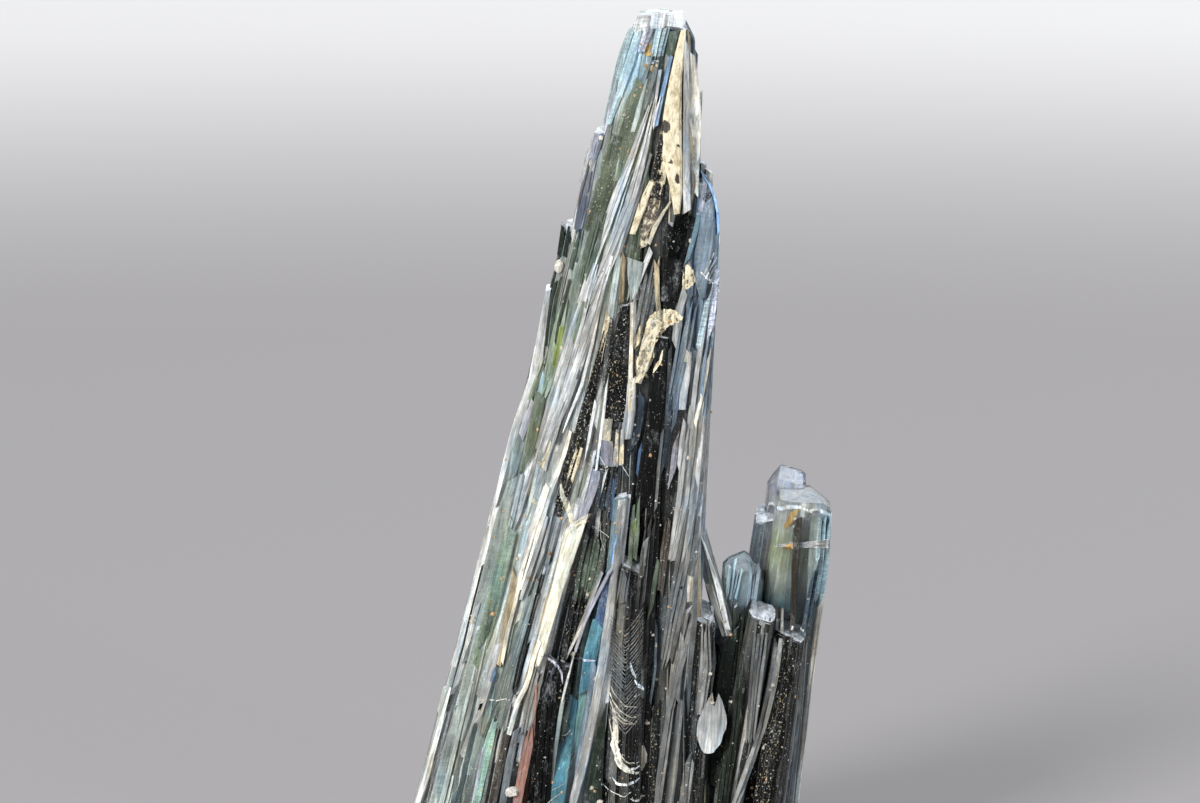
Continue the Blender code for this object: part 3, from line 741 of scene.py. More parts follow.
# the blunt prisms beside the spear
cluster = {
    "dress": ("front", "back", "left", "right"),
    "step": 0.04, "roll": 0.12, "layers": 0.5,
    "blades": {
        "clusterBody": blade(
            (6.4, -0.3), (8.1, -0.2, 12.8), (3.4, 2.6), (2.8, 2.0), {"black": 3, "dark": 2}, 6,
            [(0.2, -0.4, 0.0)]),
        "tallPrism": blade(
            (7.3, 0.7), (9.75, 0.9, 20.2), (3.2, 2.9), (2.8, 2.7), {"moss": 3}, 4,
            [(0.05, -0.16, 0.0), (0.75, 0.0, -0.45)], under=0.22, glass=0.9, bands=[(0, "dark", 0.2),
            (11.5, "steel", 0.3), (14.0, "teal", 0.2), (15.4, "teal", 0.6), (16.2, "mist", 1.0),
            (17.2, "olive", 0.9), (18.5, "olive", 1.0), (19.1, "silver", 1.0), (20.1, "pearl", 1.0)]),
        "rearPrism": blade(
            (6.6, 2.3), (9.0, 2.4, 20.95), (2.1, 1.8), (1.9, 1.6), {"sky": 3}, 3,
            [(0.3, -0.35, 0.0), (-1.2, -0.2, -0.6)], under=0.18, glass=0.9, bands=[(0, "steel", 0.2),
            (15.0, "teal", 0.3), (18.0, "mist", 0.8), (19.4, "iris", 0.95), (20.2, "iris", 1.0)]),
        "shadedPrism": blade(
            (5.5, 1.5), (8.0, 1.7, 19.1), (1.8, 2.2), (1.2, 1.9), {"steel": 3, "iris": 1}, 3,
            [(-0.2, -0.35, 0.0)], ragged=0.0),
        "stubPrism": blade(
            (4.9, 0.0), (6.75, 0.2, 16.85), (2.5, 2.6), (2.1, 2.2), {"steel": 2}, 4,
            [(-0.4, -0.35, 0.0), (0.7, -0.3, -0.1)], under=0.18, glass=0.8, bands=[(0, "black", 0.5),
            (11.0, "bottle", 0.3), (14.0, "steel", 1.0), (15.0, "sky", 0.7), (15.6, "sky", 0.9),
            (16.5, "sky", 1.0)]),
        "frontPrism": blade(
            (5.1, -1.9), (7.65, -1.5, 14.7), (1.6, 1.9), (1.3, 1.5), {"dark": 4, "black": 2}, 3,
            [(0.3, -0.4, 0.0)], ragged=0.0),
        "frontDarkPrism": blade(
            (7.1, -1.2), (9.05, -0.9, 13.7), (2.0, 2.2), (1.5, 1.8), {"black": 4, "dark": 2}, 4,
            [(0.35, -0.4, 0.0)], ragged=0.0, grit=0.5),
        "cleftBlade": blade(
            (4.6, 0.1), (5.7, 0.2, 13.2), (2.4, 3.6), (1.3, 1.8), {"black": 3, "bottle": 1}, 4,
            [(0.5, -0.6, 0.0)]),
        "backPrism": blade(
            (5.9, 2.6), (7.3, 2.8, 14.6), (2.2, 2.0), (1.7, 1.6), {"steel": 2, "dark": 2}, 3,
            [(-0.3, 0.5, 0.0)], ragged=0.0),
        "backStump": blade(
            (8.0, 2.5), (9.3, 2.6, 10.6), (1.7, 1.7), (1.6, 1.4), {"bottle": 2, "dark": 2}, 3,
            [(0.5, 0.4, 0.0)], ragged=0.0),
        "crossingBlade": blade(
            (6.0, -0.9), (4.45, -0.75, 18.5), (0.6, 0.9), (0.4, 0.8), {"silver": 2, "grey": 1}, 2,
            [(-0.9, -0.2, 0.0)], start=13.4, ragged=0.0),
    },
}
bladePiece("sideCluster", cluster, opaque)



# how far back the foremost blade stands at one place
def skin(x, z):
    foremost = None
    for one in allBlades.values():
        if not one["start"] <= z <= one["tip"][2]:
            continue
        centre, size = station(one, z)
        u = abs(x - centre.x) / size.x
        if u > 0.5:
            continue
        y = centre.y - size.y / 2 + max(0.0, u - shoulder) * size.y
        foremost = y if foremost is None else min(foremost, y)
    return foremost


# slivers lie on the front along a path of x, z and width, from the lower end to the upper one
sliverShape = {
    "thick": 0.4, "bevel": (0.06, 0.16), "overshoot": 0.4,
    "lift": 0.12, "liftStep": 0.0005,  # every sliver stands a hair prouder than the one before it
    "ringStep": 0.7, "pittedStep": 0.12, "pittedLoops": (-0.41, -0.17, -0.06, 0.06, 0.17, 0.41),
    "restStep": 0.6, "furthest": 0.3, "behindAll": -1.0,
}
# a wide sliver is split into laths: their width, how much shorter they end, and the spread of tone and roll
splits = {
    "apart": dict(width=0.2, shorter=0.4, tone=0.24, roll=0.22),
    "together": dict(width=0.24, shorter=0.2, tone=0.12, roll=0.11),
}


def sliver(tint, shade, *path, split="apart", **more):
    return dict(path=list(path), tint=tint, shade=shade, split=split, **more)


def band(tint, shade, *path, **more):
    return sliver(tint, shade, *path, split="together", **more)


def lath(tint, shade, *path, **more):
    return sliver(tint, shade, *path, split=None, **more)


def evenLath(tint, shade, *path, **more):
    return lath(tint, shade, *path, edges=0, **more)


def clearLath(*path, **more):
    return lath("pearl", 1.0, *path, **more)


def along(path, z):
    for (x0, z0, w0), (x1, z1, w1) in zip(path, path[1:]):
        if z <= z1 or (x1, z1, w1) == path[-1]:
            t = (z - z0) / (z1 - z0)
            return x0 + (x1 - x0) * t, max(0.03, w0 + (w1 - w0) * clamp(t))


# a smooth line along the skin behind a path, and how far forward of it a sliver has to stand
def restLine(path):
    step = sliverShape["restStep"]
    low, high = path[0][1] - step, path[-1][1] + step
    count = max(3, int((high - low) / step))
    heights = [low + (high - low) * i / count for i in range(count + 1)]
    raw = [skin(along(path, z)[0], max(0.1, z)) for z in heights]
    known = [y for y in raw if y is not None] or [sliverShape["behindAll"]]
    for i, y in enumerate(raw):
        if y is None:
            raw[i] = raw[i - 1] if i else known[0]
    spans = [raw[max(0, i - 2):i + 3] for i in range(count + 1)]
    even = [sum(span) / len(span) for span in spans]

    def depth(z):
        t = max(0.0, min(0.999, (z - low) / (high - low))) * count
        return even[int(t)] + (even[int(t) + 1] - even[int(t)]) * (t - int(t))

    bulge = max(e - r for r, e in zip(raw, even))
    return depth, min(sliverShape["furthest"], bulge * 0.6)


def addSliver(piece, one, rng, lift):
    path, shape = one["path"], sliverShape
    low, high = path[0][1], path[-1][1]
    depth, forward = restLine(path)
    thick = one.get("thick", shape["thick"]) + forward * 1.6
    bottom, topEnd = max(0.0, low - shape["overshoot"]), high + shape["overshoot"]
    bevelWidth = rng.uniform(*shape["bevel"])
    if "pitted" in one:
        bm = longBar(bevelWidth, topEnd - bottom, shape["pittedStep"], shape["pittedLoops"])
    else:
        bm = longBar(bevelWidth, topEnd - bottom, shape["ringStep"])
    shift = Vector((rng.uniform(0, 90), rng.uniform(0, 90), 0))
    lift += one.get("lift", 0.0)
    for v in bm.verts:
        x, y, z = v.co
        height = bottom + (z + 0.5) * (topEnd - bottom)
        cx, w = along(path, height)
        wave = noise.noise_vector(Vector((x * 3.0, 0, height * 1.3)) + shift)
        cy = depth(height) - forward - lift + (0.5 + y) * thick - one.get("roll", 0.0) * x * w
        v.co = Vector((cx + x * w + wave.x * min(0.015, w * 0.06), cy + wave.y * 0.01, height))
    leanX, leanY = one.get("ends", (min(4.0, 0.9 / path[-1][2]), 0.6))
    for end, upper in ((low, False), (high, True)):
        if end > 0.1:
            lean = (rng.uniform(-1, 1) * leanX, rng.uniform(-1, 1) * leanY)
            endCut(bm, (along(path, end)[0], depth(end), end), lean, upper)
    if not bm.verts:
        bm.free()
        return
    colour = tintAt(one["tint"], one["shade"] + rng.uniform(-0.06, 0.06))
    finish = {key: one[key] for key in ("clay", "glass", "grit", "steps") if key in one}
    # edges sets how strongly the painted edge highlight shows on the sliver
    markGrain(bm, lambda h: Vector((along(path, h)[0], 0, h)), colour, rng, zoned=False,
              edges=one.get("edges", 0.12), **finish)
    append(piece, bm)


def splitSliver(one, rng):
    if one["split"] is None:
        return [one]
    style = splits[one["split"]]
    path = one["path"]
    count = max(1, min(5, round(max(w for x, z, w in path) / style["width"])))
    if count == 1:
        return [one]
    inner = sorted((i + rng.uniform(-0.35, 0.35)) / count for i in range(1, count))
    cuts = [0.0, *inner, 1.0]
    parts = []
    for a, b in zip(cuts, cuts[1:]):
        middle, share = (a + b) / 2 - 0.5, b - a
        own = [(x + middle * w, z, max(0.05, w * share * 1.02)) for x, z, w in path]
        if path[-1][1] - path[0][1] > 1.5:  # the laths of one sliver end at slightly different heights
            (x0, z0, w0), (x, z, w) = own[-2:]
            t = 1 - rng.uniform(0.0, style["shorter"])
            own[-1] = (x0 + (x - x0) * t, z0 + (z - z0) * t, (w0 + (w - w0) * t) * rng.uniform(0.4, 0.9))
        parts.append({**one, "path": own,
                      "shade": one["shade"] * rng.uniform(1 - style["tone"], 1 + style["tone"] * 0.7),
                      "roll": one.get("roll", 0.0) + rng.uniform(-style["roll"], style["roll"]),
                      "lift": one.get("lift", 0.0) + rng.uniform(-0.03, 0.02),
                      "edges": one.get("edges", rng.choice((0.0, 0.05, 0.15, 0.6)))})
    return parts


def sliverPiece(name, slivers, material):
    bm = bmesh.new()
    for number, one in enumerate(slivers):
        rng = random.Random(name + str(number))
        for part in splitSliver(one, rng):
            addSliver(bm, part, rng, sliverShape["lift"] + sliverShape["liftStep"] * number)
    finishPiece(name, bm, material)


frontSlivers = [
    # summit
    band("sky", 0.65, (-0.15, 39.26, 0.4), (0.3, 40.75, 0.65), (0.75, 42.28, 0.85), (1.1, 43.5, 0.8),
        (1.3, 44, 0.6), roll=0.1, glass=0.7, steps=0.4, ends=(0.3, 0.3)),
    evenLath("sky", 0.92, (0.5, 40.69, 0.25), (0.85, 42.09, 0.35), (1.2, 43.2, 0.25), roll=0.1, glass=0.6),
    evenLath("grey", 0.15, (0.4, 41.45, 0.2), (0.65, 42.56, 0.2)),
    evenLath("iris", 1.3, (-0.1, 39.13, 0.25), (0.1, 40.13, 0.35), (0.2, 40.99, 0.2), glass=0.4, lift=0.03),
    sliver("iris", 0.95, (1.4, 42.8, 0.6), (1.8, 44.1, 0.8), steps=0.6, roll=-0.1, glass=0.5,
        ends=(0.3, 0.3)),
    band("sky", 0.6, (2.3, 42.59, 0.6), (2.6, 43.99, 0.7), steps=0.5, roll=0.1, glass=0.7, ends=(0.3, 0.3)),
    lath("silver", 0.8, (1.5, 43.8, 0.7), (1.7, 44.59, 0.7), glass=0.5, ends=(0.15, 0.3), steps=0.6,
        lift=0.03),
    lath("silver", 0.95, (2.3, 44, 0.75), (2.4, 44.8, 0.8), glass=0.5, ends=(0.15, 0.3), steps=0.4,
        lift=0.04),
    lath("silver", 1, (3.1, 43.99, 0.85), (3.15, 44.7, 0.85), glass=0.5, ends=(0.15, 0.3), steps=0.3,
        lift=0.05),
    lath("silver", 0.4, (2.05, 39.26, 0.15), (2.45, 41.91, 0.2)),
    evenLath("azure", 0.75, (2.25, 39.14, 0.2), (2.6, 40.9, 0.2), (3, 42.56, 0.15), lift=0.06),
    evenLath("iris", 1.4, (2.1, 39.1, 0.15), (2.35, 40.25, 0.15), lift=0.05),
    band("mist", 0.37, (1.5, 40.08, 0.6), (1.9, 41.59, 0.7), (2.25, 42.69, 0.6), steps=0.3, glass=0.6),
    lath("moss", 0.36, (0.1, 36.37, 0.9), (0.7, 38.38, 1.1), (1.2, 40.08, 1.1), (1.55, 41.29, 0.7), glass=1,
        grit=0.5, edges=0.1),
    sliver("mist", 0.73, (0.9, 38.18, 0.25), (1.35, 39.78, 0.3), (1.65, 41.09, 0.25), glass=0.4),
    lath("moss", 0.15, (-0.9, 34.04, 0.9), (-0.35, 35.87, 1), (0.05, 37.42, 0.9), (0.4, 38.78, 0.6),
        glass=1, grit=0.5, edges=0.1),
    evenLath("mist", 0.7, (-1.1, 34.3, 0.2), (-0.6, 35.45, 0.35), (-0.3, 36.07, 0.25), glass=0.6),
    band("bottle", 0.6, (-1.35, 31.39, 0.7), (-0.9, 33.16, 0.8), (-0.5, 34.66, 0.7), glass=0.5),
    sliver("iris", 0.4, (-1.6, 33.95, 0.4), (-1.25, 35.66, 0.55), (-0.9, 37.31, 0.45), glass=0.3),
    band("iris", 0.7, (-0.9, 37.45, 0.45), (-0.5, 38.76, 0.55), ends=(0.3, 0.3), glass=0.4),
    lath("silver", 0.95, (-1.4, 36.42, 0.2), (-1, 38.05, 0.25)),
    band("bottle", 0.1, (-2.4, 32.53, 0.5), (-2.15, 34.39, 0.6), ends=(1, 0.3), lift=-0.06),
    sliver("bottle", 0.6, (-1.75, 32.43, 0.4), (-1.5, 33.95, 0.4)),
    # silver band: pale grey laths, partly their own colour and partly painted sheen off the cleavage faces
    band("silver", 0.55, (-1.3, 30.4, 0.7), (-0.4, 32.8, 1), (0.7, 35.67, 1.3), (1.5, 38.18, 0.85),
        (2.15, 40.53, 0.3), roll=0.05, glass=0.3),
    evenLath("silver", 0.7, (-0.2, 32.8, 0.15), (0.7, 35.67, 0.15), (1.55, 38.18, 0.12), roll=0.05),
    sliver("silver", 0.5, (-0.75, 30.65, 0.3), (0.2, 32.8, 0.35), (1.1, 35.47, 0.3), (1.8, 37.77, 0.2),
        roll=-0.1, glass=0.3),
    evenLath("grey", 0.3, (0.45, 32.8, 0.15), (1.4, 35.67, 0.15), (2, 37.73, 0.15)),
    evenLath("silver", 0.9, (-2.4, 24.02, 0.15), (-1.45, 26.23, 0.17), (-0.9, 28.39, 0.2),
        (-0.5, 30.65, 0.25), (0.05, 32.86, 0.3), roll=0.2),
    # cream sheet and its dark pits
    evenLath("umber", 0.4, (3.3, 34.92, 0.3), (3.25, 36.13, 0.6), (3.05, 37.63, 1), (3.05, 39.64, 0.9),
        (3.25, 41.65, 0.6), (3.5, 43.16, 0.4), (3.6, 43.86, 0.25), clay=0.8, ends=(0.3, 0.3), pitted=True),
    lath("umber", 0.6, (1.1, 33.86, 0.3), (1.6, 35.35, 0.45), (2.05, 36.43, 0.25), clay=0.84, lift=0.02,
        pitted=True),
    lath("umber", 0.7, (1.55, 33.2, 0.85), (2.05, 35.53, 0.9), grit=1, clay=0.5, pitted=True),
    lath("black", 0.5, (2.25, 35.63, 0.65), (2.45, 37.03, 0.75), (2.7, 38.64, 0.6), (2.85, 39.44, 0.45),
        grit=0.7, clay=0.45, lift=0.06, pitted=True),
    evenLath("silver", 0.3, (3.8, 34.99, 0.4), (3.75, 37.61, 0.35), (3.75, 40.63, 0.3), (3.75, 43.39, 0.25),
        glass=0.5, lift=0.03),
    evenLath("bottle", 0.5, (2.9, 42.56, 0.4), (3.15, 43.76, 0.5), glass=0.6),
    evenLath("cream", 1.2, (4.2, 35.59, 0.3), (4.2, 37.89, 0.45), (4.15, 39.24, 0.7), (4.1, 40.53, 0.7),
        (3.95, 42.55, 0.5), clay=0.2, lift=0.3),
    evenLath("silver", 0.9, (4.4, 37.86, 0.15), (4.5, 40.58, 0.15)),
    sliver("cream", 0.8, (1.9, 33.32, 0.2), (2.3, 34.42, 0.3), (2.65, 35.02, 0.3), clay=0.5),
    # black prism, a facet in shadow painted black, and blue blade
    evenLath("black", 0, (2.85, 30.5, 0.8), (3.25, 33.17, 1), (3.7, 34.76, 0.9), ends=(0.3, 0.3), glass=0.9,
        lift=-0.02),
    evenLath("umber", 0.75, (3.75, 34.9, 0.45), (4, 35.96, 0.5), (3.95, 36.97, 0.35), glass=0.4),
    evenLath("steel", 0.75, (4.35, 31.08, 0.8), (4.7, 33.6, 1), (4.8, 35.37, 0.7), (4.7, 36.57, 0.25),
        roll=0.1, glass=0.8, steps=0.2),
    evenLath("azure", 0.8, (5.35, 33.97, 0.15), (5.3, 34.95, 0.15), (5.1, 35.93, 0.15), (4.75, 36.51, 0.12),
        lift=0.04),
    evenLath("iris", 0.7, (4.45, 34.92, 0.25), (4.65, 35.83, 0.3), (4.7, 36.37, 0.2), glass=0.5, lift=0.02),
    evenLath("sky", 0.45, (4.8, 32.49, 0.3), (5.05, 33.6, 0.35), (5.25, 34.5, 0.2), glass=0.6, lift=0.02),
    sliver("steel", 0.5, (4.05, 30.62, 0.35), (4.25, 32.49, 0.35), glass=0.6),
    evenLath("sky", 0.15, (3.8, 32.57, 0.25), (4.2, 33.89, 0.3), (4.4, 34.87, 0.25), glass=0.7),
    # left edge
    band("bottle", 0.25, (-2.95, 28.24, 0.6), (-2.7, 30.16, 0.7), (-2.4, 31.37, 0.8), glass=0.5),
    band("moss", 0.65, (-3.2, 25.89, 0.45), (-2.85, 27.4, 0.6), (-2.55, 29.01, 0.6), (-2.3, 30.27, 0.45),
        glass=0.7),
    evenLath("lime", 0.85, (-2.85, 26.89, 0.3), (-2.6, 28, 0.35), (-2.4, 29.11, 0.3), glass=0.6),
    lath("sky", 0.45, (-3.45, 25.88, 0.3), (-3.2, 26.79, 0.35)),
    lath("silver", 0.7, (-6.15, 17.28, 0.5), (-5.65, 19.3, 0.6), (-5.25, 21.3, 0.65), (-4.6, 23.83, 0.7),
        (-3.75, 26.38, 0.65), (-3.45, 28.38, 0.45), (-3.05, 30.94, 0.25), glass=0.9, edges=0.3),
    lath("iris", 0.8, (-4.45, 23.46, 0.35), (-4.15, 24.37, 0.4), (-3.8, 25.37, 0.3), glass=0.7),
    band("moss", 0.75, (-3.95, 25.37, 0.35), (-3.6, 26.38, 0.4), (-3.25, 27.36, 0.3), glass=0.4),
    lath("mist", 0.3, (-5.35, 20.33, 0.5), (-4.8, 22.1, 0.65), (-4.1, 24.62, 0.65), glass=0.7),
    lath("moss", 0.3, (-4.2, 22.21, 0.45), (-3.8, 23.97, 0.65), (-3.45, 25.74, 0.55), glass=0.7),
    # grey laths of the middle
    band("silver", 0.49, (-3.5, 23.02, 0.5), (-2.7, 25.58, 0.75), (-1.9, 28.39, 0.7), (-1.1, 31.15, 0.45),
        (-0.65, 32.55, 0.3), roll=0.1, glass=0.3),
    band("silver", 0.41, (-2.5, 24.87, 0.45), (-1.95, 26.63, 0.55), (-1.3, 28.64, 0.5),
        (-0.65, 30.65, 0.45), (-0.2, 32.25, 0.35), roll=-0.1, glass=0.3),
    band("silver", 0.2, (-4.4, 19.44, 0.6), (-3.7, 21.72, 0.7), (-2.9, 24, 0.65), (-2.4, 25.43, 0.45),
        roll=0.1, glass=0.3),
    lath("silver", 0.85, (-3.1, 22.51, 0.2), (-2.4, 24.62, 0.25), (-1.7, 26.53, 0.2)),
    sliver("moss", 0.45, (-1.8, 28.59, 0.3), (-1.45, 29.74, 0.4), (-1.1, 31.05, 0.3), glass=0.5),
    evenLath("grey", 0.25, (-2.55, 23.62, 0.15), (-1.95, 25.63, 0.15), (-1.5, 27.13, 0.15)),
    band("silver", 0.41, (-3.05, 23.58, 0.45), (-2.2, 25.63, 0.55), (-1.5, 27.63, 0.55),
        (-0.7, 30.14, 0.45), (-0.2, 31.9, 0.3), roll=0.1, glass=0.3),
    band("straw", 0.6, (-4.05, 20.85, 0.35), (-3.75, 21.91, 0.4), (-3.45, 22.93, 0.35), clay=0.4),
    lath("straw", 0.9, (-3.3, 22.08, 0.25), (-3.1, 23.19, 0.3), clay=0.5),
    band("black", 0.2, (-2.7, 19.85, 0.5), (-2.25, 21.11, 0.6), (-2, 22.11, 0.7), (-1.55, 23.62, 0.7),
        (-1.1, 25.37, 0.6), (-0.7, 26.88, 0.5), (-0.2, 29.14, 0.3), grit=0.9, clay=0.1, lift=0.03,
        glass=0.3),
    band("umber", 0.6, (-2, 21.61, 0.35), (-1.75, 22.51, 0.45), (-1.5, 23.32, 0.35), clay=0.55, grit=0.8,
        lift=0.05),
    evenLath("silver", 0.85, (-1.15, 23.02, 0.15), (-0.95, 24.37, 0.15), (-0.7, 25.63, 0.15), lift=0.06),
    evenLath("silver", 1, (-0.7, 22.11, 0.12), (-0.5, 23.62, 0.15), (-0.3, 25.12, 0.15),
        (-0.15, 26.63, 0.12), lift=0.06),
    evenLath("silver", 0.67, (-1.35, 20.69, 0.15), (-1, 22.11, 0.15), (-0.75, 23.12, 0.15), lift=0.06),
    evenLath("cream", 0.95, (-4.25, 16.58, 0.25), (-3.85, 17.84, 0.3), (-3.45, 19.35, 0.3),
        (-3.15, 20.61, 0.35), (-2.85, 21.51, 0.35), (-2.35, 22.61, 0.25), (-1.95, 24.12, 0.15), clay=0.2,
        lift=0.05),
    evenLath("silver", 1, (-4.55, 16.57, 0.2), (-4.2, 18.08, 0.25), (-3.75, 19.58, 0.25),
        (-3.2, 21.36, 0.2), lift=0.02),
    # speckled prism
    evenLath("black", 0, (0.15, 24.63, 1), (0.25, 25.64, 1.1), (0.3, 27.14, 1.2), (0.55, 28.9, 0.7),
        (0.75, 30.35, 0.25), grit=0.7, roll=0.05, ends=(0.3, 0.3), glass=0.5),
    evenLath("dark", 0.8, (-0.3, 26.38, 0.25), (-0.15, 28.14, 0.25), (0.05, 29.64, 0.2), grit=0.9,
        lift=0.02),
    band("straw", 0.6, (-0.5, 27.53, 0.2), (-0.3, 28.74, 0.35), (-0.05, 29.89, 0.3), clay=0.6),
    lath("straw", 0.3, (0.55, 30.4, 0.25), (0.6, 31.75, 0.25), (0.7, 32.86, 0.25), grit=0.6, clay=0.3),
    lath("mist", 0.55, (1.15, 30.55, 0.25), (1.2, 31.51, 0.6), (1.25, 32.52, 0.95), roll=0.1, glass=0.7,
        edges=0.3),
    lath("silver", 0.8, (1.15, 30.7, 0.15), (1.55, 31.85, 0.25), (2, 33.01, 0.3), glass=0.4),
    band("grey", 0.2, (1.5, 28.83, 0.7), (1.85, 30.6, 0.85), (2.15, 32.21, 0.7), roll=-0.1, grit=0.6,
        glass=0.3),
    lath("straw", 0.4, (2.45, 29.05, 0.2), (2.35, 30.6, 0.25), (2.3, 32.31, 0.25), grit=0.6, clay=0.3),
    lath("straw", 0.6, (2.25, 31.31, 0.3), (2.3, 32.31, 0.3), clay=0.6, grit=0.8),
    lath("silver", 0.2, (1.1, 28.39, 0.25), (1.15, 29.65, 0.3), (1.15, 30.65, 0.3), clay=0.2),
    lath("silver", 0.4, (0.8, 23.62, 0.5), (0.95, 25.13, 0.6), (1.05, 26.63, 0.45), glass=0.4, lift=0.03),
    evenLath("cream", 1, (0.95, 24.88, 0.2), (1, 26.13, 0.25), (1.05, 28.14, 0.2), (1.1, 30.5, 0.15),
        clay=0.4, lift=0.05),
    evenLath("silver", 0.3, (1.4, 26.42, 0.2), (1.6, 27.29, 0.6), (1.9, 28.49, 0.75), (2.3, 29.5, 0.6),
        clay=0.5, ends=(0.4, 0.3), glass=0.6, lift=0.1),
    # black groove
    evenLath("black", 0, (1.55, 20.32, 0.75), (1.95, 23.11, 0.8), (2.3, 25.63, 0.7), (2.55, 28.65, 0.6),
        ends=(0.3, 0.3), glass=0.7),
    lath("dark", 0.4, (2.75, 23.59, 0.2), (2.9, 26.11, 0.25), (2.95, 28.13, 0.2)),
    lath("steel", 0.15, (1.1, 23.12, 0.35), (1.4, 24.34, 0.45), (1.6, 25.84, 0.4), glass=0.7, edges=0.1),
    evenLath("azure", 0.15, (1.35, 21.83, 0.15), (1.5, 23.34, 0.15)),
    lath("steel", 0.1, (2.6, 22.1, 0.3), (2.85, 24.1, 0.35), (2.95, 25.81, 0.3), glass=0.6, edges=0.2),
    evenLath("grey", 0.2, (2.25, 20.1, 0.15), (2.4, 22.11, 0.15), (2.6, 24.12, 0.15)),
    # right side
    lath("silver", 0.25, (3.2, 28.38, 0.35), (3.4, 30.05, 0.4), (3.7, 31.05, 0.35), clay=0.15, edges=0.1),
    band("steel", 0.61, (3, 25.21, 0.5), (3.55, 27.88, 0.7), (4, 30.53, 0.8), roll=0.1, glass=0.7),
    lath("steel", 0.5, (3.15, 24.35, 0.25), (3.3, 25.61, 0.3), (3.45, 26.87, 0.25), glass=0.6),
    lath("silver", 0.29, (3.55, 25.16, 0.35), (3.7, 26.72, 0.5), (3.85, 28.12, 0.4), glass=0.6, edges=0.1),
    lath("silver", 0.15, (4, 24.06, 0.25), (4.25, 26.57, 0.25), (4.6, 29.06, 0.25), (4.95, 30.98, 0.25),
        glass=0.4),
    lath("sky", 0.9, (4.35, 28.08, 0.25), (4.65, 29.56, 0.3), (4.9, 30.83, 0.25), steps=0.7, glass=0.4,
        edges=0.1),
    lath("iris", 1.1, (4.95, 28.79, 0.3), (5.1, 30.29, 0.35), (5.25, 32.05, 0.3), steps=0.8, glass=0.3),
    band("steel", 0.79, (4.5, 24.56, 0.4), (4.8, 27.54, 0.4), (5.05, 29.03, 0.35), glass=0.5),
    lath("silver", 0.15, (4.7, 23.38, 0.2), (4.95, 26.49, 0.2), (5.15, 29.41, 0.2)),
    evenLath("cream", 0.85, (4.2, 24.36, 0.2), (4.5, 25.57, 0.2), (4.75, 26.79, 0.2), (4.9, 27.83, 0.15),
        clay=0.2, lift=0.05),
    band("grey", 0.65, (3.1, 17.55, 0.55), (3.7, 20.54, 0.85), (4, 23.05, 0.95), (4.3, 25.57, 0.75),
        roll=-0.05, glass=0.3),
    band("silver", 0.45, (3.9, 16.92, 0.75), (4.4, 20.26, 0.75), (4.65, 23.39, 0.5), (4.8, 25.25, 0.35),
        roll=0.1, glass=0.3),
    evenLath("silver", 0.52, (4.25, 22.05, 0.2), (4.5, 23.29, 0.2), (4.65, 24.53, 0.15)),
    lath("silver", 0.15, (3.4, 22.08, 0.2), (3.55, 23.59, 0.25), (3.7, 24.59, 0.2), glass=0.3),
    lath("iris", 0.5, (3.05, 21.58, 0.3), (3.2, 22.84, 0.35), (3.3, 23.85, 0.25), clay=0.3, grit=0.8),
    # pale block and lavender face
    lath("cream", 0.7, (-0.25, 23.63, 0.55), (-0.1, 24.73, 0.45), clay=0.35, ends=(0.4, 0.3), edges=0.1,
        lift=0.04),
    lath("iris", 0.35, (-0.15, 22.43, 0.75), (-0.2, 23.63, 0.65), glass=0.5, ends=(0.2, 0.2), edges=0.4,
        lift=0.03),
    band("silver", 0.5, (0.4, 22.43, 0.55), (0.5, 24.23, 0.5), clay=0.3, grit=0.7, ends=(0.6, 0.3),
        lift=0.03),
    lath("iris", 0.58, (-1.5, 19.69, 0.45), (-1.1, 20.91, 0.7), (-0.7, 22.21, 0.65), glass=0.6,
        ends=(0.4, 0.3), edges=0.3),
    band("black", 0.4, (-2.5, 20.51, 0.5), (-2, 21.86, 0.6), (-1.5, 23.12, 0.5), grit=1, clay=0.3),
    band("steel", 0.15, (-0.3, 20.22, 0.95), (0, 22.18, 1), grit=0.6, glass=0.5),
    evenLath("silver", 0.3, (-0.6, 20.64, 0.15), (-0.2, 22.13, 0.15)),
    evenLath("azure", 0.2, (0.05, 19.62, 0.15), (0.2, 21.63, 0.15)),
    sliver("silver", 0.9, (-0.9, 22.21, 0.1), (-0.7, 22.71, 0.1)),
    sliver("silver", 0.9, (-0.45, 22.13, 0.1), (-0.75, 22.56, 0.1)),
    sliver("silver", 0.8, (-0.2, 22.23, 0.1), (0.05, 22.78, 0.1)),
    # left side, lower half
    lath("mist", 0.5, (-7, 12.27, 0.8), (-6.4, 14.79, 0.9), (-5.8, 17.31, 0.9), (-5.35, 19.33, 0.8),
        (-4.8, 21.44, 0.6), roll=0.1, glass=1, steps=0.2, edges=0.1),
    lath("bottle", 0.9, (-6.7, 12.09, 0.6), (-6.05, 14.39, 0.75), (-5.4, 17.17, 0.75), (-4.9, 19.04, 0.6),
        glass=1, edges=0.05, steps=0.3, lift=0.03),
    evenLath("bottle", 0.45, (-6.3, 13.38, 0.4), (-5.9, 15.14, 0.45), (-5.5, 17.14, 0.4), glass=0.8,
        lift=0.05),
    lath("mist", 0.95, (-6, 14.78, 0.2), (-5.5, 17.14, 0.25), (-4.9, 19.53, 0.2), glass=0.3),
    lath("silver", 0.6, (-7.9, 10.4, 0.25), (-7.2, 12.76, 0.3), (-6.6, 15.27, 0.3), (-6.1, 17.29, 0.25),
        glass=0.6),
    evenLath("silver", 1, (-7.2, 12.66, 0.2), (-6.85, 14.17, 0.3), (-6.6, 15.08, 0.25), lift=0.1),
    evenLath("cream", 0.85, (-5.4, 12.45, 0.2), (-5.1, 14.06, 0.2), (-4.75, 15.31, 0.2), (-4.4, 17.07, 0.2),
        (-3.85, 18.84, 0.2), (-3.45, 20.1, 0.25), (-3.05, 21.51, 0.3), clay=0.3, lift=0.05),
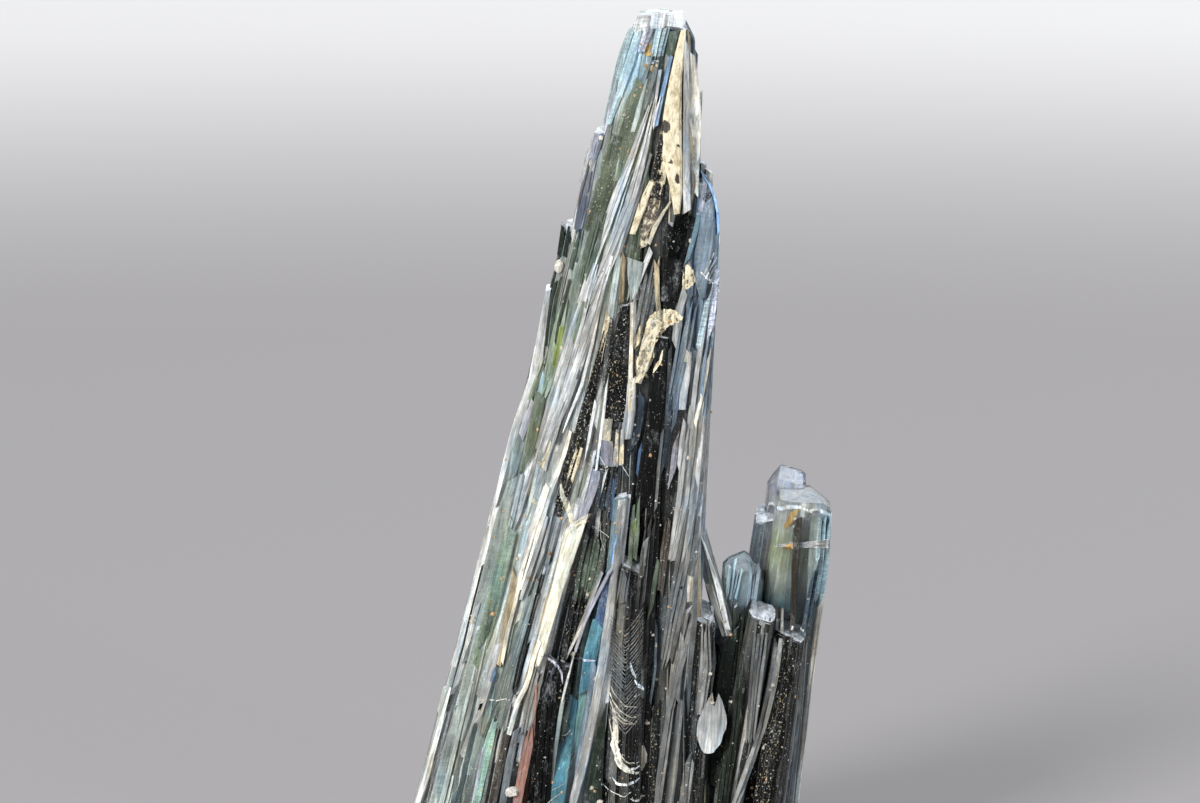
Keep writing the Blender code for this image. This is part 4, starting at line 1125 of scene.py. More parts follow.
    lath("straw", 0.7, (-5.6, 12.31, 0.3), (-5.45, 13.05, 0.4), (-5.1, 14.96, 0.4), (-4.7, 16.94, 0.35),
        clay=0.15, glass=0.3),
    lath("silver", 0.37, (-7.35, 7.7, 0.3), (-6.6, 9.74, 0.4), (-6.05, 11.56, 0.4), (-5.55, 13.44, 0.35),
        glass=0.4),
    band("silver", 0.25, (-4.15, 16.09, 0.55), (-3.6, 17.84, 0.6), (-2.95, 20.35, 0.5), roll=0.1,
        glass=0.3),
    band("mist", 0.3, (-5.65, 9.31, 0.65), (-5.15, 11.47, 0.9), (-4.65, 13.08, 0.65), (-4.2, 14.58, 0.55),
        (-3.65, 16.19, 0.4), glass=0.5, steps=0.2, lift=0.02),
    lath("mist", 0.5, (-4.4, 13.58, 0.2), (-4, 15.09, 0.25), (-3.6, 16.59, 0.2), glass=0.4, lift=0.04),
    evenLath("black", 0.4, (-4.85, 11.17, 0.12), (-4.5, 12.83, 0.12), (-4, 14.58, 0.12),
        (-3.5, 16.59, 0.12), lift=0.03),
    lath("grey", 0.45, (-3.95, 13.58, 0.3), (-3.45, 15.59, 0.4), (-2.9, 17.49, 0.3), glass=0.4),
    evenLath("azure", 0.5, (-6.2, 10.96, 0.15), (-5.7, 12.16, 0.2), lift=0.05),
    evenLath("black", 0.4, (-7.4, 7.5, 0.15), (-6.9, 8.98, 0.15), (-6.35, 10.65, 0.15), lift=0.04),
    lath("mist", 0.5, (-8.1, 7.27, 0.6), (-7.5, 9.54, 0.7), (-6.9, 11.9, 0.7), (-6.35, 14.09, 0.55),
        steps=0.3, glass=1, edges=0.3),
    lath("mist", 0.55, (-9.93, 0, 0.75), (-8.7, 5.09, 0.75), (-8.05, 7.52, 0.8), (-7.45, 9.88, 0.65),
        steps=0.4, glass=1, edges=0.2),
    evenLath("sky", 0.9, (-8.5, 8.17, 0.15), (-8.15, 9.49, 0.2)),
    band("mist", 0.1, (-8.75, 0, 0.45), (-7.75, 5.34, 0.45), (-7.15, 8.22, 0.55), (-6.5, 10.77, 0.45),
        glass=0.5),
    # painted rim highlight: the palest lath runs along the left edge, as if lit from behind
    evenLath("silver", 1.25, (-11.11, 0, 0.3), (-9.65, 4.79, 0.3), (-9.25, 5.97, 0.3), (-8.75, 7.75, 0.35),
        (-8.35, 9.26, 0.3), (-8, 10.53, 0.2), lift=0.12),
    band("silver", 0.3, (-10.08, 0, 0.4), (-9, 5.06, 0.4), (-8.45, 7.37, 0.4), (-7.9, 9.64, 0.35),
        glass=0.5),
    band("mist", 0.3, (-7.97, 0, 1.2), (-6.8, 5.38, 1.2), (-6.4, 7.03, 1.1), (-6, 8.64, 0.85),
        (-5.6, 10.05, 0.6), (-5.25, 11.07, 0.35), glass=0.8, steps=0.7, lift=0.04),
    evenLath("mist", 0.3, (-8.52, 0, 0.35), (-7.2, 5.38, 0.35), (-6.75, 7.03, 0.4), (-6.3, 8.79, 0.3),
        glass=0.8, lift=0.07),
    band("mint", 0.7, (-7.74, 0, 0.4), (-6.7, 5.39, 0.4), (-6.4, 6.79, 0.45), (-6.05, 8.44, 0.5),
        (-5.7, 9.74, 0.35), glass=0.7, steps=0.4, edges=0.1, lift=0.12),
    evenLath("sky", 0.7, (-6.3, 7.54, 0.2), (-5.95, 8.79, 0.25), (-5.75, 9.54, 0.2), glass=0.5, steps=0.4,
        lift=0.14),
    evenLath("iris", 1, (-7.83, 0, 0.12), (-6.8, 5.78, 0.12), (-6.5, 7.29, 0.15), (-6.3, 8.29, 0.12),
        glass=0.3, lift=0.14),
    band("umber", 0.3, (-6.97, 0, 0.4), (-5.9, 5.53, 0.4), (-5.6, 6.93, 0.45), (-5.3, 8.58, 0.45),
        (-4.85, 10.29, 0.35), glass=0.4, lift=0.08, grit=0.5),
    evenLath("black", 0.4, (-7.14, 0, 0.15), (-6.2, 5.48, 0.15), (-5.9, 7.06, 0.15), (-5.6, 8.67, 0.15),
        (-5.2, 10.32, 0.15), lift=0.13),
    lath("grey", 0.25, (-6.16, 0, 0.35), (-5.35, 5.53, 0.35), (-5, 7.68, 0.4), (-4.65, 9.33, 0.3),
        glass=0.3, lift=0.06),
    # cream ledge, crest and window
    lath("ivory", 1, (-3.65, 12.41, 0.15), (-3.4, 13.26, 0.4), (-3.1, 14.67, 0.6), (-2.65, 16.17, 0.6),
        (-2.3, 17.43, 0.7), (-1.95, 18.68, 0.85), (-1.65, 19.69, 0.9), roll=0.3, glass=0.9, ends=(0.9, 0.3),
        edges=0.1, lift=0.06),
    evenLath("straw", 0.7, (-3.05, 14.67, 0.2), (-2.5, 16.17, 0.2), (-1.95, 17.68, 0.2), (-1.5, 18.92, 0.2),
        clay=0.4, lift=0.03),
    evenLath("grey", 0.74, (-3.45, 13.66, 0.15), (-3.05, 15.17, 0.15), (-2.5, 16.93, 0.15), lift=0.04),
    lath("grey", 0.77, (-2.15, 13.01, 0.15), (-1.6, 14.08, 0.2), (-1, 15.61, 0.2), (-0.45, 17.02, 0.15),
        edges=0.3, lift=0.08),
    lath("iris", 0.8, (-1.75, 13.18, 0.15), (-1.2, 14.86, 0.2), (-0.6, 16.11, 0.2), (0.05, 17.38, 0.15),
        edges=0.2, lift=0.1),
    evenLath("silver", 0.4, (-2.4, 10.76, 0.12), (-1.9, 12.82, 0.15)),
    evenLath("teal", 0.5, (-1.3, 11.18, 0.5), (-0.95, 13.18, 0.7), (-0.55, 14.79, 0.6), glass=0.9,
        steps=0.3),
    evenLath("azure", 0.15, (-0.5, 14.49, 0.6), (-0.3, 15.69, 0.55), (-0.05, 17.12, 0.3), glass=0.7,
        steps=0.3),
    evenLath("mist", 0.4, (-3.58, 0, 0.2), (-3.05, 5.58, 0.2), (-2.85, 7.49, 0.25), (-2.6, 9.25, 0.2),
        (-2.35, 10.86, 0.2), glass=0.9, steps=0.2),
    evenLath("bottle", 0.05, (-1.48, 0, 0.95), (-0.9, 5.51, 0.95), (-0.6, 8.07, 0.6), (-0.3, 10.25, 0.25),
        glass=0.5, lift=0.1),
    evenLath("teal", 0.36, (-3.17, 0, 0.7), (-2.65, 5.54, 0.7), (-2.45, 7.45, 0.85), (-2.2, 9.07, 0.9),
        (-1.9, 10.88, 0.65), glass=1, lift=0.12),
    evenLath("steel", 0.9, (-1.65, 6.66, 0.35), (-1.4, 8.42, 0.4), (-1.05, 10.42, 0.35), (-0.8, 12.68, 0.3),
        glass=0.9),
    lath("silver", 0.22, (-3.24, 0, 0.45), (-1.9, 5.51, 0.45), (-1.45, 7.17, 0.5), (-0.85, 9.92, 0.45),
        (-0.35, 12.68, 0.5), (0.05, 15.68, 0.45), (0.25, 17.44, 0.35), (0.4, 18.69, 0.35),
        (0.6, 20.59, 0.45), glass=0.6, ends=(1.5, 0.3), lift=0.05, edges=0.2),
    evenLath("azure", 0.7, (0.1, 17.59, 0.15), (0.25, 18.94, 0.2), lift=0.09),
    evenLath("cream", 1, (-5, 9.18, 0.25), (-4.6, 10.69, 0.3), (-4.2, 11.44, 0.25), (-3.95, 12.16, 0.25),
        (-3.8, 12.91, 0.25), (-3.5, 13.66, 0.2), clay=0.1, lift=0.12),
    band("grey", 0.4, (-4.2, 9.18, 0.5), (-3.8, 11.09, 0.7), (-3.45, 12.46, 0.6), grit=0.5, clay=0.15,
        glass=0.4),
    band("iris", 0.12, (-3.2, 11.24, 0.4), (-2.9, 12.57, 0.5), grit=0.4, glass=0.5),
    band("rust", 0.75, (-5.57, 0, 0.45), (-4.65, 5.53, 0.45), (-4.3, 7.43, 0.5), (-4.05, 8.58, 0.45),
        (-3.9, 9.58, 0.2), clay=0.1, glass=0.4, lift=0.04),
    evenLath("rust", 1.3, (-3.85, 7.89, 0.12), (-3.65, 11.69, 0.12), lift=0.04),
    evenLath("dark", 0.1, (-5.86, 0, 0.3), (-5.05, 5.53, 0.3), (-4.7, 7.68, 0.35)),
    band("black", 0, (-3.82, 0, 1), (-3.5, 5.58, 1), (-3.3, 8.75, 1), (-3.05, 11.51, 0.8),
        (-2.85, 12.57, 0.45), edges=0, ends=(0.8, 0.3), glass=0.7),
    band("bottle", 0.5, (-1.35, 15.59, 0.95), (-1, 17.22, 1.4), (-0.65, 19.02, 1.2), grit=0.8, lift=-0.02,
        glass=0.6),
    band("black", 0.3, (-2, 12.82, 0.9), (-1.75, 14.33, 0.95), (-1.45, 15.99, 0.85), grit=0.7, lift=0,
        glass=0.4),
    evenLath("black", 0.5, (-1.35, 17.64, 0.15), (-1, 18.9, 0.15), lift=0.04),
    evenLath("umber", 0.8, (-0.6, 16.11, 0.15), (-0.35, 17.62, 0.15), lift=0.04),
    # right foot
    band("moss", 0.3, (1.1, 17.71, 0.4), (1.2, 19.08, 0.5), (1.3, 20.48, 0.45), glass=0.7),
    evenLath("lime", 0.6, (1.1, 17.98, 0.15), (1.25, 19.98, 0.17), glass=0.6),
    band("dark", 0.36, (1.6, 15.53, 0.65), (1.8, 17.58, 0.65), (2, 19.59, 0.55), roll=0.2, glass=0.4),
    evenLath("moss", 0.3, (2, 15.06, 0.25), (2.2, 16.57, 0.3), (2.4, 17.58, 0.2), glass=0.7),
    lath("grey", 0.3, (1.5, 16.7, 0.25), (1.65, 17.98, 0.3), (1.8, 18.84, 0.25), glass=0.5),
    sliver("grey", 0.18, (0.55, 15.7, 0.55), (0.75, 17.11, 0.5), roll=-0.2),
    band("umber", 0.6, (2.5, 16.04, 0.3), (2.7, 18.05, 0.4), (2.9, 19.66, 0.3), grit=0.7, lift=0.02),
    band("grey", 0.19, (2.8, 12.53, 0.6), (3.3, 15.29, 0.9), (3.8, 17.78, 1), (4.15, 20.14, 0.7), roll=0.05,
        glass=0.3),
    lath("grey", 0.42, (3.65, 17.54, 0.25), (4, 19.54, 0.3), (4.25, 21.55, 0.25), glass=0.3),
    evenLath("black", 0.5, (2.9, 13.53, 0.15), (3.25, 15.04, 0.15), (3.55, 16.29, 0.15)),
    lath("cream", 0.4, (3.95, 15.51, 0.25), (4, 16.77, 0.3), clay=0.3, ends=(0.4, 0.3)),
    band("grey", 0.4, (3.05, 10.55, 0.4), (3.55, 12.81, 0.55), (4, 14.95, 0.5), glass=0.3),
    band("grey", 0.27, (1.69, 0, 0.4), (2.35, 5.36, 0.4), (2.75, 8.3, 0.45), (3.15, 11.05, 0.45), roll=0.1),
    evenLath("black", 0.3, (2.04, 0, 0.15), (2.65, 5.39, 0.15), (2.95, 7.79, 0.15), (3.3, 10.55, 0.15),
        lift=0.03),
    lath("silver", 0.15, (3.3, 10.55, 0.25), (3.45, 12.56, 0.3), (3.6, 13.96, 0.2), edges=0.1),
    band("grey", 0.35, (3.1, 0, 0.5), (3.7, 5.32, 0.5), (4, 7.7, 0.55), grit=0.8),
    band("grey", 0.42, (4.6, 9.85, 0.65), (4.9, 12.04, 0.85), (4.85, 14.46, 0.6), grit=0.6),
    sliver("black", 0.3, (1.82, 0, 0.35), (2.05, 5.34, 0.35), (2.2, 8.51, 0.35), (2.35, 11.02, 0.35),
        grit=0.9),
    evenLath("steel", 0.3, (2, 10.54, 0.15), (2.25, 12.03, 0.15), (2.3, 14.55, 0.15)),
]
sliverPiece("frontSlivers", frontSlivers, opaque)

clusterSlivers = [
    # tall prism: cream right edge, a painted highlight, and dark stripe, fracture and amber stains inside
    # the clear body
    band("cream", 0.7, (8.98, 0, 0.3), (9.45, 4.89, 0.3), (10.1, 10.99, 0.35), (10.6, 15.2, 0.35),
        (10.95, 18.59, 0.3), (11.05, 19.4, 0.2), lift=-0.1),
    evenLath("umber", 0.12, (9.15, 14, 0.25), (9.3, 17.14, 0.35), (9.4, 19.17, 0.4), lift=0.06, glass=0.8),
    evenLath("mist", 0.22, (10.1, 15.11, 0.45), (10.2, 17.14, 0.5), (10.25, 19.27, 0.45), glass=0.8,
        lift=0.05),
    evenLath("silver", 0.35, (9.6, 17.8, 2.7), (9.6, 18.05, 2.7), lift=0.12, ends=(0.12, 0.1), steps=1),
    band("sky", 0.55, (10.45, 15.06, 0.6), (10.65, 17.09, 0.75), (10.8, 19.49, 0.75), lift=0.06, edges=0,
        glass=0.6, steps=0.6),
    sliver("steel", 0.5, (9.8, 13.85, 0.35), (10.4, 17.14, 0.4), steps=1, lift=0.2),
    # front prisms
    band("grey", 0.5, (4.56, 0, 0.4), (6.3, 5.18, 0.4), (7, 7.06, 0.45), (7.65, 8.99, 0.45),
        (8.15, 11.29, 0.5), (8.45, 13.49, 0.5), (8.55, 14.71, 0.4), lift=0.05, glass=0.6),
    band("grey", 0.22, (7, 8.36, 0.45), (7.35, 11.88, 0.65), (7.65, 14.43, 0.85), roll=0.1, glass=0.6),
    sliver("iris", 0.3, (8, 10.77, 0.35), (8.3, 13.28, 0.35), (8.3, 14.51, 0.3)),
    sliver("grey", 0.35, (8.25, 0, 0.45), (8.8, 4.83, 0.45), (9.2, 8.02, 0.5), (9.65, 11.06, 0.45)),
    lath("grey", 0.35, (8.74, 0, 0.3), (9.15, 4.81, 0.3), (9.55, 9.02, 0.3), (9.75, 12.58, 0.25)),
    sliver("black", 0.2, (6.89, 0, 0.8), (7.6, 5.09, 0.8), (8.25, 9.27, 0.85), (8.85, 13.06, 0.85), grit=1),
    sliver("bottle", 0.06, (5.05, 0, 0.7), (5.6, 5.33, 0.7), (6.15, 10.13, 0.8), (6.6, 15.19, 0.7)),
    evenLath("bottle", 0.03, (5.35, 5.6, 0.8), (5.6, 10.13, 0.8), (6.05, 13.48, 0.7), glass=0.4),
    sliver("grey", 0.4, (7.35, 14.67, 0.1), (7.3, 15.19, 0.1)),
    # stub prism faces
    band("sky", 0.5, (6.05, 15.19, 0.6), (6.35, 17.13, 0.9), glass=0.6),
    band("steel", 0.95, (7.1, 15.19, 0.45), (7.3, 16.83, 0.7), glass=0.7),
    evenLath("silver", 0.9, (5.9, 13.84, 0.25), (5.4, 16, 0.3), (4.9, 17.74, 0.25), (4.55, 18.66, 0.15),
        lift=0.06),
    band("steel", 0.52, (5.6, 13.82, 0.5), (5.1, 15.75, 0.6), (4.7, 17.52, 0.4), lift=-0.06, glass=0.8),
]
sliverPiece("clusterSlivers", clusterSlivers, opaque)

# clear prisms round the coloured bodies inside them: which clear crystal each has, and how uneven they are
clearPrisms = {
    "crystals": {"tallPrism": "olive", "rearPrism": "pale", "stubPrism": "pale", "tealWindow": "teal"},
    "wobble": 0.04, "ringStep": 0.8,
}
for name, look in clearPrisms["crystals"].items():
    one = allBlades[name]
    bm = bladeSolid(one, 1.0, clearPrisms["wobble"], clearPrisms["ringStep"], random.Random(name))
    markGrain(bm, lambda z: station(one, z)[0], Vector((1, 1, 1)), random.Random(name), zoned=False)
    finishPiece(name + "Clear", bm, clear[look])

# thin clear slivers over the green and blue parts
clearSlivers = {
    "green": [
        clearLath((-3, 26.24, 0.6), (-2.5, 28.76, 0.7), (-2.1, 30.52, 0.5), thick=0.3, roll=0.1),
        clearLath((-7.72, 0, 0.8), (-6.5, 5.41, 0.8), (-5.9, 7.81, 0.8), (-5.35, 10.17, 0.5), thick=0.3),
        clearLath((-3.5, 13.16, 0.6), (-2.5, 15.67, 1), (-1.5, 19.18, 1.1), thick=0.2, lift=-0.25),
    ],
    "pale": [
        clearLath((-10.29, 0, 0.8), (-9, 5.06, 0.8), (-8.1, 8.24, 0.9), (-7.4, 11.26, 0.7), thick=0.3,
            roll=0.2),
        clearLath((0.05, 22.48, 0.9), (0.1, 24.23, 0.8), thick=0.25),
    ],
    "blue": [
        clearLath((4.5, 31.33, 0.8), (4.85, 33.86, 0.75), (4.8, 35.88, 0.45), thick=0.3, roll=-0.15),
        clearLath((2.9, 22.08, 0.5), (3.3, 24.6, 0.6), (3.8, 27.62, 0.5), thick=0.25, roll=-0.1),
    ],
}
for look, slivers in clearSlivers.items():
    sliverPiece(look + "Slivers", slivers, clear[look])


leafFlake = {
    "place": (5.1, -3.15, 9.4), "halfWidth": 0.72, "halfHeight": 1.62, "thick": 0.22,
    "notch": 0.5, "pear": 0.45, "turn": 0.12, "tint": "silver", "shade": 0.32, "paleFoot": (0.9, 0.92, 0.88),
}


def makeLeafFlake(name, flake, material):
    bm = bmesh.new()
    bmesh.ops.create_circle(bm, segments=32, radius=1.0, cap_ends=True)
    for v in bm.verts:
        x, z = v.co.x, v.co.y
        pear = 1.0 - flake["pear"] * max(0.0, z + 0.1) ** 1.3
        z -= max(0.0, flake["notch"] - 1.1 * abs(x)) if z > 0.95 else 0.0
        v.co = Vector((x * flake["halfWidth"] * pear, z * flake["halfHeight"], 0))
        v.co += noise.noise_vector(v.co * 2.6) * (0.10 if z < 0 else 0.05)
        v.co.z = 0
    bmesh.ops.inset_region(bm, faces=bm.faces[:], thickness=0.10, depth=0.06)
    thicken(bm, (0, 0, -flake["thick"]))
    for v in bm.verts:
        v.co = Vector((v.co.x + flake["turn"] * v.co.y, -v.co.z, v.co.y)) + Vector(flake["place"])
    colour = tintAt(flake["tint"], flake["shade"])
    markGrain(bm, lambda h: Vector(), colour, random.Random(2), zoned=False, glass=1.0)
    tone = bm.verts.layers.float_color["tone"]
    for v in bm.verts:
        fall = clamp((flake["place"][2] - 0.6 - v.co.z) / 0.9)
        v[tone] = (*Vector(v[tone][:3]).lerp(Vector(flake["paleFoot"]), fall), 1.0)
    bmesh.ops.recalc_face_normals(bm, faces=bm.faces)
    finishPiece(name, bm, material)


makeLeafFlake("leafFlake", leafFlake, opaque)


# the finished surface so far, which ribbons and grains are laid on
def surfaceTree():
    whole = bmesh.new()
    for piece in finished:
        whole.from_mesh(piece.data)
    return BVHTree.FromBMesh(whole)


onSurface = surfaceTree()


inFront = -30.0  # rays that look for the front surface start this far in front of it
ribbonShape = {"step": 0.09, "rests": 12, "furthest": 0.5, "behindAll": -1.0}


# a thin raised ribbon that bends along its points and lies on whatever is behind it
def addRibbon(piece, points, width, tint, shade, rng, lift=0.02, thick=0.05, taper=True, across=3,
              ragged=0.4, drape=0.2, **finish):
    lengths = [0.0]
    for a, b in zip(points, points[1:]):
        lengths.append(lengths[-1] + math.dist(a, b))
    total = lengths[-1]

    def spot(t):
        reach = clamp(t) * total
        for i in range(len(points) - 1):
            if reach <= lengths[i + 1] or i == len(points) - 2:
                t = (reach - lengths[i]) / (lengths[i + 1] - lengths[i])
                return Vector(points[i]).lerp(Vector(points[i + 1]), t)

    def depthAt(x, z):
        hit = onSurface.ray_cast(Vector((x, inFront, z)) * mm, Vector((0, 1, 0)))[0]
        return None if hit is None else hit.y / mm

    bm = bmesh.new()
    rings, spans = max(3, int(total / ribbonShape["step"])), ribbonShape["rests"]
    bmesh.ops.create_grid(bm, x_segments=across, y_segments=rings, size=0.5)
    shift = Vector((rng.uniform(0, 90), 0, 0))
    rests = [depthAt(*spot(i / spans)) for i in range(spans + 1)]
    known = [y for y in rests if y is not None] or [ribbonShape["behindAll"]]
    rests = [min(known) if y is None else y for y in rests]
    for v in bm.verts:
        x, t = v.co.x, v.co.y + 0.5
        centre = (spot(t - 0.04) + spot(t) + spot(t + 0.04)) / 3
        heading = (spot(t + 0.05) - spot(t - 0.05)).normalized()
        w = width * (max(0.15, math.sin(math.pi * max(0.02, min(0.98, t)))) ** 0.6 if taper else 1.0)
        w *= 1 + ragged * noise.noise(Vector((t * total * 2.0, x * 3.0, 0)) + shift)
        w *= 1 + ragged * noise.noise(Vector((t * total * 9.0, x * 5.0, 3)) + shift)
        flatX, flatZ = centre.x + heading.y * x * w, centre.y - heading.x * x * w
        i = min(spans - 1, int(t * spans))
        middle = rests[i] + (rests[i + 1] - rests[i]) * (t * spans - i)
        y = depthAt(flatX, flatZ)
        y = middle if y is None else max(middle - ribbonShape["furthest"], min(middle + drape, y))
        v.co = Vector((flatX, y - lift, flatZ))
    thicken(bm, (0, thick, 0))
    colour = tintAt(tint, shade + rng.uniform(-0.08, 0.08))
    markGrain(bm, lambda h: Vector(), colour, rng, zoned=False, **finish)
    append(piece, bm)


chevronShape = {
    "count": 27, "highest": 14.4126, "apart": 0.19801, "uneven": 0.012693,
    "left": ((0.0, 0.0), (0.35, -0.45695), (0.75, -0.9139)),
    "right": ((0.75, -0.9139), (1.2, -0.40618), (1.65, 0.30463)),
    "glance": 0.17628,  # the lines are laid on the skin along a glance 10 degrees from above
}


# rows of fine V-shaped lines down one face, each a left and a right stroke
def chevrons(shape):
    def laid(x, height):
        y = -2.5
        for _ in range(4):
            z = height - y * shape["glance"]
            y = skin(x, z)
        return x, z

    strokes = []
    for i in range(shape["count"]):
        top = shape["highest"] - shape["apart"] * i - shape["uneven"] * (i * 37 % 5)
        for side in ("left", "right"):
            strokes.append([laid(x, top + up) for x, up in shape[side]])
    return strokes


# smears of clay, curved breaks, rims, painted prism-rim highlights and lint: width, tint, shade, settings,
# and paths of x and z
ribbons = dict(
    claySmear=(0.62, "ivory", 1, dict(clay=1.7, across=6, ragged=0.3, drape=0.3), [
        [(3.45, 29.54), (2.95, 29.69), (2.5, 29.41), (2.2, 28.9), (2.05, 28.29)],
        [(3.6, 29.69), (3.1, 29.89), (2.6, 29.82), (2.1, 29.5), (1.75, 28.95)],
    ]),
    smearTail=(0.24, "ivory", 1, dict(clay=1.3, ragged=0.4), [
        [(2.15, 28.59), (2.1, 27.89), (1.85, 27.24), (1.45, 26.76), (1.05, 26.33)],
        [(1.95, 28.9), (1.65, 28.29), (1.45, 27.72), (1.3, 27.14)],
    ]),
    clayThreads=(0.17, "cream", 0.8, dict(clay=1.2, ragged=0.5), [
        [(1.55, 27.39), (1.8, 27.89), (1.9, 28.49), (2.2, 29.1)],
        [(1.2, 28.44), (1.4, 28.94), (1.5, 29.34)], [(0.95, 25.03), (1, 25.48), (0.95, 25.93)],
        [(-2.4, 21.21), (-2.2, 20.61), (-2.1, 20.07), (-1.85, 19.54)],
        [(-1.1, 20), (-1.5, 19.74), (-1.85, 19.49)],
        [(1.35, 27.04), (1.7, 27.69), (1.95, 28.39), (2.2, 28.9)],
        [(1.2, 28.14), (1.5, 28.73), (1.85, 29.1), (2.15, 29.5)], [(0.95, 25.73), (1.15, 26.23)],
        [(2.1, 27.01), (2.45, 27.54), (2.6, 28.15)], [(1.9, 26.69), (1.65, 27.04), (1.55, 27.49)],
    ]),
    blob=(0.62, "cream", 0.9, dict(clay=1.3, across=5, ragged=0.35, drape=0.3), [
        [(3.65, 31.1), (3.9, 31.66), (3.8, 32.37)], [(2.6, 29.42), (3, 29.64), (3.3, 30.05)],
    ]),
    milk=(0.3, "cream", 0.3, dict(clay=0.4, across=4, ragged=0.4), [
        [(1.3, 27.04), (1.55, 27.59), (1.7, 28.19)], [(1.9, 29.1), (2.3, 29.7), (2.7, 30.04)],
    ]),
    goldFlecks=(0.36, "ochre", 0.7, dict(across=4, ragged=1), [
        [(1.75, 42.59), (1.8, 42.9), (1.95, 43.25)], [(1.65, 42.14), (2, 42.04), (2.35, 42.09)],
    ]),
    summitMark=(0.14, "silver", 1, dict(across=2), [
        [(1.75, 42.24), (2.05, 42.29), (2.4, 42.38)],
    ]),
    creamFork=(0.3, "ivory", 1, dict(across=3, ragged=0.4), [
        [(-2.45, 21.51), (-2.35, 20.91), (-2.15, 20.35), (-1.95, 19.89), (-1.85, 19.34)],
        [(-0.95, 20.05), (-1.3, 19.78), (-1.7, 19.54), (-1.95, 19.13)],
    ]),
    # painted highlights along the rims of the prism tops
    prismRimHighlights=(0.2, "silver", 1, dict(across=2, ragged=0.6), [
        [(8.3, 14.25), (8.8, 13.95), (9.35, 13.75), (9.8, 13.7)],
        [(9.9, 19.57), (10.4, 19.72), (10.85, 19.49), (11.1, 19.21)],
        [(7.85, 19.46), (8.3, 19.65), (8.9, 19.82), (9.55, 19.82), (10.15, 19.52)],
    ]),
    crestRim=(0.13, "iris", 1, dict(across=2), [
        [(-3.5, 13.06), (-3.1, 12.91), (-2.75, 12.77), (-2.4, 12.27), (-2.35, 11.66)],
        [(-1.8, 12.72), (-1.25, 12.81), (-0.65, 12.78)],
    ]),
    chevronLines=(0.04, "grey", 0.3, dict(across=1, taper=False, ragged=0.2), chevrons(chevronShape)),
    curvedBreaks=(0.06, "cream", 0.55, dict(across=1), [
        [(-0.1, 11.37), (0.1, 10.79), (0.5, 10.24), (1.1, 9.89), (1.55, 10.06)],
        [(-0.1, 11.05), (0.1, 10.44), (0.55, 9.89), (1.15, 9.64)],
        [(-0.1, 10.66), (0.15, 10.09), (0.65, 9.64), (1.3, 9.59)],
        [(-0.1, 11.77), (0.2, 11.1), (0.7, 10.5), (1.4, 10.43)],
        [(-0.15, 10.25), (0.05, 9.29), (0.3, 8.29), (0.85, 7.64), (1.5, 7.65)],
    ]),
    whiteCrescent=(0.34, "cream", 1, dict(across=4, ragged=0.4, clay=0.1), [
        [(0.15, 10.44), (0.3, 9.44), (0.2, 8.44), (0.5, 7.59), (1.05, 7.14), (1.55, 7.11)],
        [(1.55, 7.01), (1.7, 7.67), (1.65, 8.32)],
    ]),
    lowerCrescents=(0.14, "silver", 0.9, dict(across=2), [
        [(0.2, 8.49), (0.4, 7.69), (0.95, 7.29), (1.5, 7.45)],
        [(0.1, 6.94), (0.35, 6.59), (0.9, 6.54), (1.5, 6.84)], [(1, 5.84), (1.35, 5.71), (1.75, 5.76)],
        [(1.2, 11.8), (1.45, 11.48), (1.75, 11.19)], [(1, 12.7), (1.05, 12.3), (1.3, 11.9)],
    ]),
    windowLines=(0.05, "silver", 0.5, dict(across=1), [
        [(-2.9, 6.38), (-2.4, 6.64), (-1.65, 7.27)], [(-3.15, 5.73), (-2.7, 6.07), (-2.4, 6.26)],
        [(-2.4, 9.08), (-2.15, 9.07), (-1.95, 9.28)], [(-2.2, 7.26), (-1.9, 7.72), (-1.65, 8.07)],
    ]),
    scaleLines=(0.07, "silver", 0.9, dict(across=1, taper=False), [
        [(4.6, 31.79), (4.9, 32.39), (5.15, 32.89)], [(4.7, 31.63), (5, 32.19), (5.3, 32.65)],
        [(4.8, 31.48), (5.1, 32.03), (5.4, 32.36)], [(4.9, 31.33), (5.2, 31.8), (5.4, 32)],
        [(5.05, 31.17), (5.3, 31.45), (5.4, 31.65)], [(5.2, 31.03), (5.35, 31.14), (5.45, 31.39)],
        [(4.45, 31.99), (4.8, 31.63), (5.15, 31.3), (5.4, 30.99)],
    ]),
    amberStain=(0.34, "ochre", 0.7, dict(across=4, ragged=0.8, glass=0.5), [
        [(8.75, 18.71), (9.05, 19.22), (9.4, 19.72)], [(8.85, 17.65), (9.15, 18)],
    ]),
    lint=(0.035, "pearl", 0.6, dict(across=1, taper=False, ragged=0.1, lift=0.04), [
        [(-1.1, 22.46), (-0.7, 22.31), (-0.2, 22.13)], [(-0.6, 23.02), (-0.3, 22.53), (-0.15, 21.93)],
        [(0.5, 22.52), (0.75, 22.12), (0.95, 21.81)],
        [(-2.4, 21.26), (-2.2, 20.76), (-2, 20.51), (-2.05, 19.98), (-1.8, 19.69)],
        [(-0.9, 19.4), (-0.45, 19.12), (-0.05, 18.82)], [(-0.5, 19.62), (-0.45, 18.72), (-0.2, 18.02)],
        [(-0.45, 6.64), (0.1, 6.19), (0.7, 5.94), (1.05, 6.19)],
        [(-6.5, 10.68), (-5.75, 10.6), (-4.95, 10.82)], [(1.2, 10.95), (1.5, 11.07)],
    ]),
)
bm = bmesh.new()
rng = random.Random(5)
for width, tint, shade, settings, paths in ribbons.values():
    for points in paths:
        addRibbon(bm, points, width, tint, shade, rng, **settings)
finishPiece("curvedBreaks", bm, opaque)


